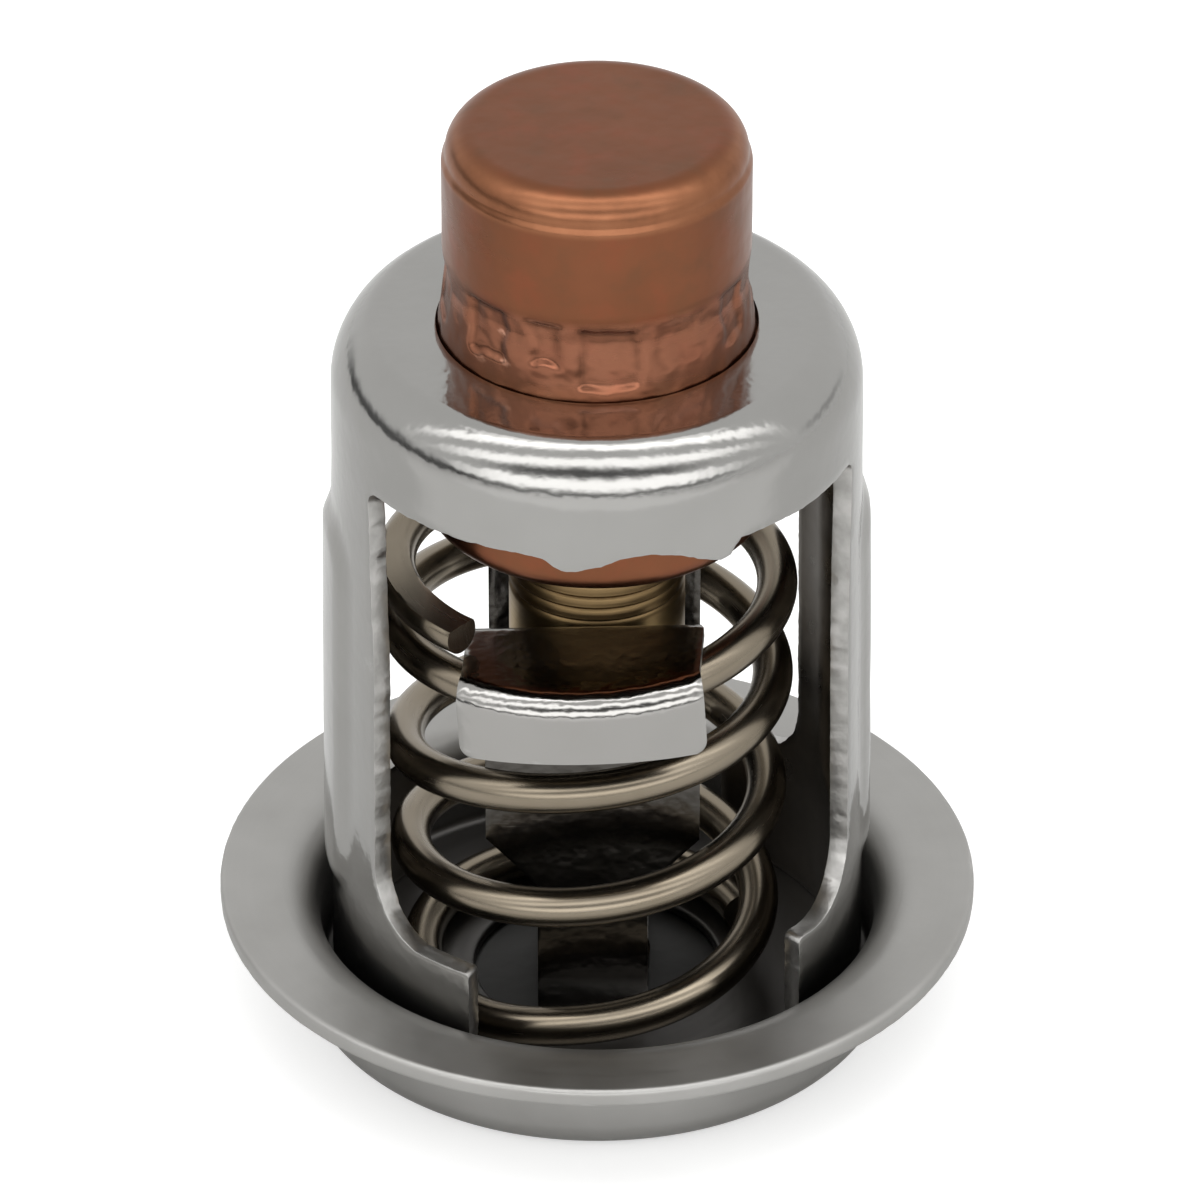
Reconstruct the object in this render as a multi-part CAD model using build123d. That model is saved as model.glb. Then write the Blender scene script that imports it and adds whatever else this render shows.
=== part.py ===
from build123d import *
import math
import os

os.makedirs("parts", exist_ok=True)

# Flanged wax thermostat, all sizes in millimetres.
# The origin is on the axis, in the upper face of the flange. +Z points out of the engine side
# that the copper wax capsule reaches into, and -Y faces the window with the longer foot.

# Flange, one drawn stainless sheet: flat rim, round mouth, cup, and a coined seat in the floor
flange_radius = 19.0
flange_sheet = 1.0
rim_edge_radius = 0.2
mouth_radius = 2.2
cup_inside_radius = 14.0
cup_floor_z = -5.6
cup_corner_radius = 0.4
seat_bore_radius = 6.2
seat_edge_radius = 0.2
seat_recess_radius = 8.8
seat_recess_depth = 0.5
seat_recess_clearance = 0.5

# Cage, one drawn stainless cup with two windows; its wall is a shallow cone
cage_sheet = 0.95
cage_top_z = 32.8
cage_bend_radius = 3.2
cage_radius_at_band = 12.95
cage_band_z = 29.6
cage_floor_clearance = 0.6
cage_radius_at_floor = cup_inside_radius - cage_floor_clearance
cage_hole_radius = 7.9
cage_turn = 7.0
window_half_angle = 62.9
window_top_z = 26.95
window_top_corner = 0.8
foot_top_z_front = 1.85
foot_top_z_rear = 1.6
foot_corner = 3.6
foot_end_angle_left = 35.3
foot_end_angle_right = 41.8
foot_end_angle_rear = 38.0
panel_half_angle = 13.3
panel_raise = 0.5
panel_bottom_z = 1.7
panel_top_z = 22.3
panel_corner = 2.2
torn_root = 0.5
# Ragged lower edge of the front band: points across (x) and up (z)
torn_edge = [
    (-4.6, 26.92),
    (-2.5, 26.85),
    (-1.7, 26.15),
    (-0.8, 26.17),
    (1.1, 26.85),
    (2.6, 27.05),
    (4.0, 26.7),
    (5.9, 25.95),
    (6.4, 26.1),
    (6.9, 26.92),
]

# Wax capsule: a drawn copper cup whose wide skirt is curled in under the guide's flange
capsule_sheet = 0.6
capsule_radius = 7.48
capsule_top_z = 43.45
capsule_top_corner = 1.8
crimp_band_top_z = 36.4
crimp_band_radius = 7.36
crimp_step_half = 0.3
skirt_radius = 8.6
skirt_bottom_z = 21.9
skirt_corner = 1.2
skirt_curl_radius = 5.6

# Guide, diaphragm, plug, disc and piston inside the capsule
guide_radius = 4.35
guide_bottom_z = 10.5
guide_groove_depth = 0.12
guide_groove_width = 0.35
guide_groove_pitch = 0.67
guide_groove_count = 4
guide_first_groove_z = 19.72
guide_lead_chamfer = 0.4
diaphragm_thickness = 1.5
piston_radius = 2.0
piston_running_gap = 0.04
piston_tip_radius = 0.5
plug_length = 4.2
disc_thickness = 0.6

# Valve carrier: one folded stainless strap, two ears over the spring, two legs, one web
strap = 0.5
leg_gap_to_guide = 0.3
leg_half_width = 5.3
leg_taper_top_z = 5.4
leg_taper_bottom_z = 2.6
neck_half_width = 2.75
ear_half_width = 5.8
lip_inside_radius = 11.65
lip_fold_radius = 0.7
lip_length = 3.05
lip_end_drop = 0.45
lip_corner = 0.6
ear_front_under_z = 17.6
ear_rear_under_z = 19.1
ear_cant = 3.6
carrier_turn = -0.5
carrier_offset_x = -0.17
front_ear_turn = -3.7

# Valve disc under the seat, and the rivet that holds it to the web
valve_radius = seat_recess_radius - seat_recess_clearance
valve_thickness = 0.45
rivet_shank_radius = 1.3
rivet_head_radius = 2.1
rivet_boss_radius = 2.7
rivet_boss_height = 1.2
rivet_boss_chamfer = 0.4

# Return spring: round wire, right-hand, foot coil closed on the cup's floor, top end ground flat
spring_wire = 2.0
spring_offset_x = -0.5
spring_foot_z = cup_floor_z + spring_wire / 2
spring_height = 23.5
spring_foot_radius = 8.38
spring_top_radius = 9.45
spring_taper_power = 0.65
spring_ground_depth = 0.5
# Turns are eased by averaging the rows this far to each side (degrees)
spring_ease = 32.0
# Each row: turn from the front (degrees, clockwise seen from above), share of the height
spring_rows = [
    (40, 1.0),
    (90, 0.987),
    (150, 0.96),
    (210, 0.947),
    (300, 0.928),
    (330, 0.911),
    (360, 0.896),
    (410, 0.877),
    (500, 0.812),
    (590, 0.734),
    (719, 0.664),
    (830, 0.528),
    (900, 0.481),
    (1079, 0.366),
    (1260, 0.209),
    (1439, 0.049),
    (1510, 0.0),
    (1690, 0.0),
]

# How far a cutting body runs past what it cuts
past = 4.0


def polar(radius, turn, z=0.0):
    # Point at a turn (degrees) from -Y towards +X
    a = math.radians(turn)
    return (radius * math.sin(a), -radius * math.cos(a), z)


def cage_radius(z, raised=0.0):
    # Outside radius of the cage's wall, a shallow cone
    slope = (cage_radius_at_floor - cage_radius_at_band) / (cage_band_z - cup_floor_z)
    return cage_radius_at_band + slope * (cage_band_z - z) + raised


def flange():
    top = 0.0
    under = -flange_sheet
    wall = cup_inside_radius
    out = wall + flange_sheet
    floor = cup_floor_z
    foot = floor - flange_sheet
    recess = foot + seat_recess_depth
    m = mouth_radius
    mo = mouth_radius - flange_sheet
    c = cup_corner_radius
    co = c + flange_sheet
    with BuildPart() as part:
        with BuildSketch(Plane.XZ):
            with BuildLine():
                Line((seat_bore_radius, floor), (wall - c, floor))
                RadiusArc((wall - c, floor), (wall, floor + c), -c)
                Line((wall, floor + c), (wall, top - m))
                RadiusArc((wall, top - m), (wall + m, top), m)
                Line((wall + m, top), (flange_radius, top))
                Line((flange_radius, top), (flange_radius, under))
                Line((flange_radius, under), (wall + m, under))
                RadiusArc((wall + m, under), (out, top - m), -mo)
                Line((out, top - m), (out, floor + c))
                RadiusArc((out, floor + c), (wall - c, foot), co)
                Line((wall - c, foot), (seat_recess_radius, foot))
                Line((seat_recess_radius, foot), (seat_recess_radius, recess))
                Line((seat_recess_radius, recess), (seat_bore_radius, recess))
                Line((seat_bore_radius, recess), (seat_bore_radius, floor))
            make_face()
        revolve(axis=Axis.Z)
        rim = part.edges().filter_by(GeomType.CIRCLE).filter_by(lambda e: abs(e.radius - flange_radius) < 0.01)
        fillet(rim, rim_edge_radius)
        bore = part.edges().filter_by(GeomType.CIRCLE).filter_by(
            lambda e: abs(e.radius - seat_bore_radius) < 0.01 and abs(e.center().Z - floor) < 0.01
        )
        fillet(bore, seat_edge_radius)
    return part.part


def cage_shell():
    # The drawn cup before its windows are cut, open at the bottom
    t = cage_sheet
    top = cage_top_z
    b = cage_bend_radius
    r1 = cage_radius_at_band
    z1 = cage_band_z
    r0 = cage_radius_at_floor
    z0 = cup_floor_z
    with BuildPart() as part:
        with BuildSketch(Plane.XZ):
            with BuildLine():
                Line((cage_hole_radius, top), (r1 - b, top))
                RadiusArc((r1 - b, top), (r1, z1), b)
                Line((r1, z1), (r0, z0))
                Line((r0, z0), (r0 - t, z0))
                Line((r0 - t, z0), (r1 - t, z1))
                RadiusArc((r1 - t, z1), (r1 - b, top - t), -(b - t))
                Line((r1 - b, top - t), (cage_hole_radius, top - t))
                Line((cage_hole_radius, top - t), (cage_hole_radius, top))
            make_face()
        revolve(axis=Axis.Z)
    return part.part


def sector(r_in, r_out, z_low, z_high, turn_from, turn_to, corner=0.0, corners="all"):
    # Block between two radii, two heights and two turns, with rounded radial edges
    span = turn_to - turn_from
    with BuildPart() as part:
        with BuildSketch(Plane.XZ):
            with Locations(((r_in + r_out) / 2, (z_low + z_high) / 2)):
                Rectangle(r_out - r_in, z_high - z_low)
        revolve(axis=Axis.Z, revolution_arc=span)
        if corner:
            radial = part.edges().filter_by(GeomType.LINE).filter_by(
                lambda e: abs(e.length - (r_out - r_in)) < 0.01 and abs(e.tangent_at(0).Z) < 0.01
            )
            if corners == "low":
                radial = radial.filter_by(lambda e: e.center().Z < (z_low + z_high) / 2)
            if corners == "high":
                radial = radial.filter_by(lambda e: e.center().Z > (z_low + z_high) / 2)
            fillet(radial, corner)
    middle = part.part.center()
    at = math.degrees(math.atan2(middle.X, -middle.Y))
    want = (turn_from + turn_to) / 2
    return part.part.rotate(Axis.Z, want - at)


def window(turn, foot_z, foot_left, foot_right):
    # One window with rounded corners, and the open gap between its two feet
    r_in = cage_radius_at_band - cage_sheet - past
    r_out = cage_radius_at_floor + past
    w = window_half_angle
    opening = sector(r_in, r_out, foot_z, window_top_z, turn - w, turn + w, window_top_corner, "high")
    rounding = opening.edges().filter_by(GeomType.LINE).filter_by(
        lambda e: abs(e.length - (r_out - r_in)) < 0.01 and abs(e.center().Z - foot_z) < 0.01
    )
    opening = fillet(rounding, foot_corner)
    gap = sector(r_in, r_out, cup_floor_z - past, foot_z + past, turn - foot_left, turn + foot_right)
    return opening + gap


def panel(turn):
    # Rounded upright field pressed outward in the middle of a leg
    h = panel_half_angle
    r_in = cage_radius_at_band - 2 * cage_sheet
    r_out = cage_radius_at_floor + 2 * cage_sheet
    return sector(r_in, r_out, panel_bottom_z, panel_top_z, turn - h, turn + h, panel_corner)


def cone_ring(raised_out, raised_in, z_low, z_high):
    # Ring between two cones that follow the cage's wall
    with BuildPart() as part:
        with BuildSketch(Plane.XZ):
            with BuildLine():
                Polyline(
                    (cage_radius(z_low, raised_in), z_low),
                    (cage_radius(z_low, raised_out), z_low),
                    (cage_radius(z_high, raised_out), z_high),
                    (cage_radius(z_high, raised_in), z_high),
                    close=True,
                )
            make_face()
        revolve(axis=Axis.Z)
    return part.part


def torn_tongues():
    # Ragged strip left along the front band's lower edge, on the cage's own wall
    top = window_top_z + torn_root
    points = [(torn_edge[0][0], top)] + torn_edge + [(torn_edge[-1][0], top)]
    with BuildPart() as part:
        with BuildSketch(Plane.XZ.offset(cage_radius_at_band - past)):
            with BuildLine():
                Polyline(*points, close=True)
            make_face()
        extrude(amount=2 * past)
    wall = cone_ring(0.0, -cage_sheet, window_top_z - past, top)
    return part.part & wall


def cage():
    shell = cage_shell()
    front = window(cage_turn, foot_top_z_front, foot_end_angle_left, foot_end_angle_right)
    rear = window(cage_turn + 180.0, foot_top_z_rear, foot_end_angle_rear, foot_end_angle_rear)
    body = shell - front - rear
    low = panel_bottom_z - past
    high = panel_top_z + past
    raised = cone_ring(panel_raise, panel_raise - cage_sheet, low, high)
    pocket = cone_ring(panel_raise - cage_sheet, -cage_sheet - past, low, high)
    for turn in (cage_turn - 90.0, cage_turn + 90.0):
        field = panel(turn)
        body = body + (raised & field)
        body = body - (pocket & field)
    body = body + torn_tongues()
    return body


def capsule_cup():
    # Copper cup: domed end, upper tube, crimped band, wide skirt curled in under the guide's flange
    t = capsule_sheet
    r = capsule_radius
    rb = crimp_band_radius
    top = capsule_top_z
    c = capsule_top_corner
    step = cage_top_z - cage_sheet
    rs = skirt_radius
    low = skirt_bottom_z
    k = skirt_corner
    band = crimp_band_top_z
    h = crimp_step_half
    with BuildPart() as part:
        with BuildSketch(Plane.XZ):
            with BuildLine():
                Line((0, top), (r - c, top))
                RadiusArc((r - c, top), (r, top - c), c)
                Line((r, top - c), (r, band + h))
                Line((r, band + h), (rb, band - h))
                Line((rb, band - h), (rb, step))
                Line((rb, step), (rs, step))
                Line((rs, step), (rs, low + k))
                RadiusArc((rs, low + k), (rs - k, low), k)
                Line((rs - k, low), (skirt_curl_radius, low))
                Line((skirt_curl_radius, low), (skirt_curl_radius, low + t))
                Line((skirt_curl_radius, low + t), (rs - k, low + t))
                RadiusArc((rs - k, low + t), (rs - t, low + k), -(k - t))
                Line((rs - t, low + k), (rs - t, step - t))
                Line((rs - t, step - t), (rb - t, step - t))
                Line((rb - t, step - t), (rb - t, band - h))
                Line((rb - t, band - h), (r - t, band + h))
                Line((r - t, band + h), (r - t, top - c))
                RadiusArc((r - t, top - c), (r - c, top - t), -(c - t))
                Line((r - c, top - t), (0, top - t))
                Line((0, top - t), (0, top))
            make_face()
        revolve(axis=Axis.Z)
    return part.part


def diaphragm_top():
    return cage_top_z - cage_sheet - capsule_sheet


def guide_flange_top():
    return diaphragm_top() - diaphragm_thickness


def wax_charge():
    # Wax fills the copper cup above the diaphragm
    t = capsule_sheet
    r = capsule_radius - t
    rb = crimp_band_radius - t
    c = capsule_top_corner - t
    top = capsule_top_z - t
    band = crimp_band_top_z
    h = crimp_step_half
    with BuildPart() as part:
        with BuildSketch(Plane.XZ):
            with BuildLine():
                Line((0, top), (r - c, top))
                RadiusArc((r - c, top), (r, top - c), c)
                Line((r, top - c), (r, band + h))
                Line((r, band + h), (rb, band - h))
                Line((rb, band - h), (rb, diaphragm_top()))
                Line((rb, diaphragm_top()), (0, diaphragm_top()))
                Line((0, diaphragm_top()), (0, top))
            make_face()
        revolve(axis=Axis.Z)
    return part.part


def diaphragm():
    # Rubber sheet clamped between the copper cup's step and the guide's flange
    r = skirt_radius - capsule_sheet
    disc = Cylinder(r, diaphragm_thickness, align=(Align.CENTER, Align.CENTER, Align.MIN))
    return Pos(0, 0, guide_flange_top()) * disc


def guide():
    # Turned brass: wide flange inside the copper skirt, long nose with turning rings, running bore
    r_flange = skirt_radius - capsule_sheet
    k = skirt_corner - capsule_sheet
    low = skirt_bottom_z + capsule_sheet
    high = guide_flange_top()
    bore = piston_radius + piston_running_gap
    ch = guide_lead_chamfer
    with BuildPart() as part:
        with BuildSketch(Plane.XZ):
            with BuildLine():
                Line((bore, high), (r_flange, high))
                Line((r_flange, high), (r_flange, low + k))
                RadiusArc((r_flange, low + k), (r_flange - k, low), k)
                Line((r_flange - k, low), (guide_radius, low))
                Line((guide_radius, low), (guide_radius, guide_bottom_z + ch))
                Line((guide_radius, guide_bottom_z + ch), (guide_radius - ch, guide_bottom_z))
                Line((guide_radius - ch, guide_bottom_z), (bore, guide_bottom_z))
                Line((bore, guide_bottom_z), (bore, high))
            make_face()
        revolve(axis=Axis.Z)
        for i in range(guide_groove_count):
            z = guide_first_groove_z - i * guide_groove_pitch
            with BuildSketch(Plane.XZ):
                with BuildLine():
                    Polyline(
                        (guide_radius + guide_groove_depth, z + guide_groove_width / 2),
                        (guide_radius - guide_groove_depth, z + guide_groove_width / 4),
                        (guide_radius - guide_groove_depth, z - guide_groove_width / 4),
                        (guide_radius + guide_groove_depth, z - guide_groove_width / 2),
                        close=True,
                    )
                make_face()
            revolve(axis=Axis.Z, mode=Mode.SUBTRACT)
    return part.part


def rubber_plug():
    # Plug that passes the wax's push on down the bore
    body = Cylinder(piston_radius, plug_length, align=(Align.CENTER, Align.CENTER, Align.MAX))
    return Pos(0, 0, guide_flange_top()) * body


def sliding_disc():
    # Hard disc between the plug and the piston
    body = Cylinder(piston_radius, disc_thickness, align=(Align.CENTER, Align.CENTER, Align.MAX))
    return Pos(0, 0, guide_flange_top() - plug_length) * body


def web_top_z():
    return valve_top_z() + strap


def valve_top_z():
    return cup_floor_z - flange_sheet + seat_recess_depth


def piston():
    # Steel pin from the disc down to the rivet's boss, with both ends rounded
    top = guide_flange_top() - plug_length - disc_thickness
    low = web_top_z() + rivet_boss_height
    body = Cylinder(piston_radius, top - low, align=(Align.CENTER, Align.CENTER, Align.MIN))
    body = chamfer(body.edges().filter_by(GeomType.CIRCLE), piston_tip_radius)
    return Pos(0, 0, low) * body


def ear_outline(low, high):
    # Front view of an ear: straight sides, the lower edge drawn up a little at its middle
    w = ear_half_width
    ends = low - lip_end_drop
    with BuildSketch() as outline:
        with BuildLine():
            Line((-w, high), (w, high))
            Line((w, high), (w, ends))
            ThreePointArc((w, ends), (0, low), (-w, ends))
            Line((-w, ends), (-w, high))
        make_face()
        fillet(outline.vertices().group_by(Axis.Y)[0], lip_corner)
    return outline.sketch


def ear(side, under_z, cant, turn):
    # One ear: flat plate over the spring, folded down into a lip that follows the coil's curve
    t = strap
    inner_y = guide_radius + leg_gap_to_guide
    f = lip_fold_radius
    ri = lip_inside_radius
    low = under_z - lip_length
    ends = low - lip_end_drop
    with BuildPart() as part:
        with BuildSketch(Plane.XZ):
            with BuildLine():
                Line((guide_radius, under_z), (ri - f, under_z))
                RadiusArc((ri - f, under_z), (ri, under_z - f), f)
                Line((ri, under_z - f), (ri, ends))
                Line((ri, ends), (ri + t, ends))
                Line((ri + t, ends), (ri + t, under_z - f))
                RadiusArc((ri + t, under_z - f), (ri - f, under_z + t), -(f + t))
                Line((ri - f, under_z + t), (guide_radius, under_z + t))
                Line((guide_radius, under_z + t), (guide_radius, under_z))
            make_face()
        revolve(axis=Axis.Z)
    keep = extrude(Plane.XZ.offset(inner_y) * ear_outline(low, under_z + t + past), amount=ri + past)
    plate = part.part & keep
    if cant:
        middle = Pos(0, 0, under_z)
        plate = middle * Rot(0, -cant, 0) * middle.inverse() * plate
    return plate.rotate(Axis.Z, turn if side > 0 else turn + 180.0)


def leg(side, under_z):
    # One leg: wide beside the guide, tapered to a neck that passes through the seat bore
    t = strap
    inner_y = guide_radius + leg_gap_to_guide
    low = valve_top_z()
    w = leg_half_width
    n = neck_half_width
    with BuildPart() as part:
        with BuildSketch(Plane.XZ.offset(inner_y)):
            with BuildLine():
                Polyline(
                    (-w, under_z + t),
                    (w, under_z + t),
                    (w, leg_taper_top_z),
                    (n, leg_taper_bottom_z),
                    (n, low),
                    (-n, low),
                    (-n, leg_taper_bottom_z),
                    (-w, leg_taper_top_z),
                    close=True,
                )
            make_face()
        extrude(amount=t)
    return part.part if side > 0 else part.part.rotate(Axis.Z, 180.0)


def carrier():
    # Valve carrier: ears, legs and web in one strap
    inner_y = guide_radius + leg_gap_to_guide
    web_length = 2 * (inner_y + strap)
    web = Box(2 * neck_half_width, web_length, strap, align=(Align.CENTER, Align.CENTER, Align.MIN))
    web = Pos(0, 0, valve_top_z()) * web
    body = leg(1, ear_front_under_z) + leg(-1, ear_rear_under_z) + web
    body = body.rotate(Axis.Z, carrier_turn)
    body = body + ear(1, ear_front_under_z, ear_cant, front_ear_turn)
    body = body + ear(-1, ear_rear_under_z, 0.0, carrier_turn)
    hole = Cylinder(rivet_shank_radius, 2 * past)
    return Pos(carrier_offset_x, 0, 0) * body - Pos(0, 0, valve_top_z()) * hole


def valve_disc():
    # Flat valve disc that closes the seat from below, countersunk for the rivet
    low = valve_top_z() - valve_thickness
    disc = Cylinder(valve_radius, valve_thickness, align=(Align.CENTER, Align.CENTER, Align.MIN))
    sink = Cone(rivet_head_radius, rivet_shank_radius, valve_thickness, align=(Align.CENTER, Align.CENTER, Align.MIN))
    return Pos(0, 0, low) * (disc - sink)


def rivet():
    # Rivet through disc and web: flush head below, boss above that the piston pushes on
    low = valve_top_z() - valve_thickness
    lowest = (Align.CENTER, Align.CENTER, Align.MIN)
    head = Pos(0, 0, low) * Cone(rivet_head_radius, rivet_shank_radius, valve_thickness, align=lowest)
    shank = Pos(0, 0, valve_top_z()) * Cylinder(rivet_shank_radius, strap, align=lowest)
    boss = Pos(0, 0, web_top_z()) * Cylinder(rivet_boss_radius, rivet_boss_height, align=lowest)
    boss = chamfer(boss.edges().group_by(Axis.Z)[-1], rivet_boss_chamfer)
    return head + shank + boss


def spring_share(turn):
    # Share of the spring's height at a turn: straight between rows, eased by averaging
    first = spring_rows[0][0]
    last = spring_rows[-1][0]
    total = 0.0
    steps = 9
    for i in range(steps):
        at = turn + spring_ease * (2 * i / (steps - 1) - 1)
        at = min(max(at, first), last)
        for a, b in zip(spring_rows, spring_rows[1:]):
            if a[0] <= at <= b[0]:
                total += a[1] + (b[1] - a[1]) * (at - a[0]) / (b[0] - a[0])
                break
    return total / steps


def spring():
    first = spring_rows[0][0]
    last = spring_rows[-1][0]
    count = 100
    points = []
    for i in range(count + 1):
        turn = first + (last - first) * i / count
        share = spring_share(turn)
        z = spring_foot_z + spring_height * share
        r = spring_foot_radius + (spring_top_radius - spring_foot_radius) * share**spring_taper_power
        x, y, _ = polar(r, -turn)
        points.append((x + spring_offset_x, y, z))
    path = Spline(*points)
    start = Plane(origin=path @ 0, z_dir=path % 0)
    coil = sweep(start * Circle(spring_wire / 2), path=path, is_frenet=False)
    ground_z = (path @ 0).Z + spring_wire / 2 - spring_ground_depth
    lowest = (Align.CENTER, Align.CENTER, Align.MIN)
    wide = 2 * (spring_top_radius + past)
    return coil - Pos(0, 0, ground_z) * Box(wide, wide, past, align=lowest)


pieces = {
    "seat_flange": flange(),
    "cage": cage(),
    "capsule_cup": capsule_cup(),
    "wax_charge": wax_charge(),
    "diaphragm": diaphragm(),
    "piston_guide": guide(),
    "rubber_plug": rubber_plug(),
    "sliding_disc": sliding_disc(),
    "piston": piston(),
    "valve_carrier": carrier(),
    "valve_disc": valve_disc(),
    "rivet": rivet(),
    "return_spring": spring(),
}

for name, shape in pieces.items():
    solids = shape.solids()
    solid = solids[0] if len(solids) == 1 else Compound(children=list(solids))
    export_step(solid, f"parts/{name}.step")
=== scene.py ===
import math

import bmesh
import bpy
import numpy as np
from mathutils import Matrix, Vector, noise
from mathutils.geometry import delaunay_2d_cdt


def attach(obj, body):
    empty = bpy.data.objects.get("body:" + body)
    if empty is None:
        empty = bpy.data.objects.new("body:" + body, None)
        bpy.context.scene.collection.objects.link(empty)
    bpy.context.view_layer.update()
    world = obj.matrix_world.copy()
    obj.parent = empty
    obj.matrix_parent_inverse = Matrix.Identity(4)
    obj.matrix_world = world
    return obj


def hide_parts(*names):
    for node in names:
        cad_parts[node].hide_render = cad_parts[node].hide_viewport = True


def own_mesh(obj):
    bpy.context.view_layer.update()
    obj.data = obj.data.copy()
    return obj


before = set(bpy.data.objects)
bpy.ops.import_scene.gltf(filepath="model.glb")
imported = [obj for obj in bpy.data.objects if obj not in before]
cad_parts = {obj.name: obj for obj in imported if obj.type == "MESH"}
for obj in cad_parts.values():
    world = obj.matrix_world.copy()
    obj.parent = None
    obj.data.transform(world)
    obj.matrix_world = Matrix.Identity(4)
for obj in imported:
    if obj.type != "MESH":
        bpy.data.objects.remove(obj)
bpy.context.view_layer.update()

# Flanged wax thermostat. Sizes are in millimetres and become metres in the finished meshes.
# Turns are in degrees from the front (-Y) towards +X, as in the part's source.
MM = 0.001

# Meshing: the gap between a corner's last point and the next stretch, doubled points, how sharp an
# edge is to be softened
corner_gap = 0.1
doubled_points = 0.004
soften_from_angle = 50.0

# Seat flange
flange_radius = 19.0
flange_sheet = 1.0
rim_edge_radius = 0.28
rim_dings = 0.035
rim_wave = 0.025
rim_fall = 0.02
mouth_radius = 2.2
cup_inside_radius = 14.0
cup_floor_z = -5.6
cup_corner_radius = 0.4
# Painted shade inside the cup: the heights where it starts and where it is full
cup_shade_from_z = -1.5
cup_shade_full_z = -4.5
seat_bore_radius = 6.2
seat_edge_radius = 0.2
seat_recess_radius = 8.8
seat_recess_depth = 0.5
stand_z = cup_floor_z - flange_sheet

# Cage
cage_sheet = 0.95
cage_top_z = 32.8
cage_bend_radius = 3.2
cage_shoulder_radius = 0.35
cage_shoulder_angle = 62.0
cage_top_fall_angle = 88.5
cage_foot_bend_radius = 3.6
cage_foot_bend_angle = 35.0
cage_hole_z = 32.47
cage_band_radius = 12.95
cage_band_z = 29.6
cage_floor_radius = 13.4
cage_hole_radius = 7.82
cage_turn = 7.0
window_half_angle = 62.9
window_lean = 2.6
window_lean_from_z = 17.0
window_top_z = 26.95
window_top_corner = 0.8
window_corner_run = 4.0
window_lean_bend = 12.0
foot_end_corner = 0.3
front_foot_z = 1.85
rear_foot_z = 1.6
foot_corner = 3.6
front_foot_left = 35.3
front_foot_right = 41.8
rear_foot = 38.0
panel_half_angle = 13.3
panel_raise = 0.42
panel_bottom_z = 1.7
panel_top_z = 22.3
panel_corner = 2.2
panel_shoulder = 1.5
panel_radius = 13.2
cage_pitch_around = 0.42
cage_pitch_down = 0.36
cage_pitch_clear = 0.24
cage_edge_pitch = 0.25
cage_hole_pitch = 0.35
shell_wobble_out = 0.03
shell_wobble_down = 0.02
cut_wander = 0.05
cut_chips = 0.05
# Lower edge of the band over the front window, with its torn strip: distance across, height
torn_edge = [
    (-4.6, 26.92), (-3.6, 26.93), (-2.6, 26.8), (-2.05, 26.4), (-1.7, 26.2), (-1.0, 26.16),
    (0.2, 26.5), (1.1, 26.85), (2.6, 27.0), (4.0, 26.75), (5.2, 26.2), (5.9, 25.97), (6.4, 26.15),
    (6.9, 26.92),
]

# Copper capsule
capsule_sheet = 0.6
capsule_radius = 7.48
capsule_top_z = 43.25
capsule_top_corner = 1.4
die_line_z = 41.66
die_line_half_height = 0.26
die_line_step = 0.16
crimp_band_top_z = 36.4
crimp_band_radius = 7.36
crimp_foot_radius = 7.72
crimp_foot_z = 32.4
skirt_radius = 8.6
skirt_bottom_z = 21.9
skirt_corner = 1.2
skirt_curl_radius = 5.6
diaphragm_thickness = 1.5
dent_edge = 0.5
dent_wander_across = 0.3
dent_wander_up = 0.35
crimp_creases = 0.055
crimp_grain = 0.016
capsule_wave = 0.01
# Dents pressed into the crimp band: turn, height, width, tallness, depth
crimp_dents = [
    (-45.0, 35.3, 2.3, 3.0, 0.22),
    (-19.6, 35.4, 1.5, 2.6, 0.16),
    (5.0, 34.6, 2.7, 3.1, 0.2),
    (31.0, 35.0, 2.2, 2.2, 0.07),
    (61.0, 35.4, 1.6, 3.6, 0.14),
    (92.0, 35.0, 2.2, 2.9, 0.18),
    (128.0, 34.8, 2.4, 3.0, 0.2),
    (165.0, 35.2, 1.8, 2.6, 0.14),
    (204.0, 34.9, 2.4, 3.0, 0.2),
    (240.0, 35.3, 2.0, 2.8, 0.16),
    (278.0, 35.0, 2.3, 2.9, 0.18),
]

# Brass guide and the pin in it
guide_radius = 4.35
guide_bottom_z = 10.5
guide_lead_chamfer = 0.4
guide_ring_heights = (19.75, 19.05, 18.4, 17.7)
guide_ring_depth = 0.1
guide_ring_width = 0.3
piston_radius = 2.0
piston_running_gap = 0.04
piston_top_z = 24.75
piston_tip_radius = 0.5

# Valve carrier, valve disc and rivet
strap = 0.5
leg_inner_y = 4.65
strap_bend = 0.45
leg_half_width = 5.3
leg_taper_top_z = 5.4
leg_taper_bottom_z = 2.6
neck_half_width = 2.75
ear_half_width = 5.8
lip_inside_radius = 11.65
lip_fold_radius = 0.7
lip_length = 3.05
lip_end_drop = 0.45
lip_corner = 0.6
ear_front_under_z = 17.6
ear_rear_under_z = 19.1
ear_cant = 3.6
twist_length = 4.0
strap_columns = 32
carrier_turn = -0.5
carrier_offset_x = -0.17
front_ear_turn = -3.7
valve_top_z = -6.1
valve_radius = 8.3
valve_thickness = 0.45
valve_edge_radius = 0.12
rivet_shank_radius = 1.3
rivet_boss_height = 1.2

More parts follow.
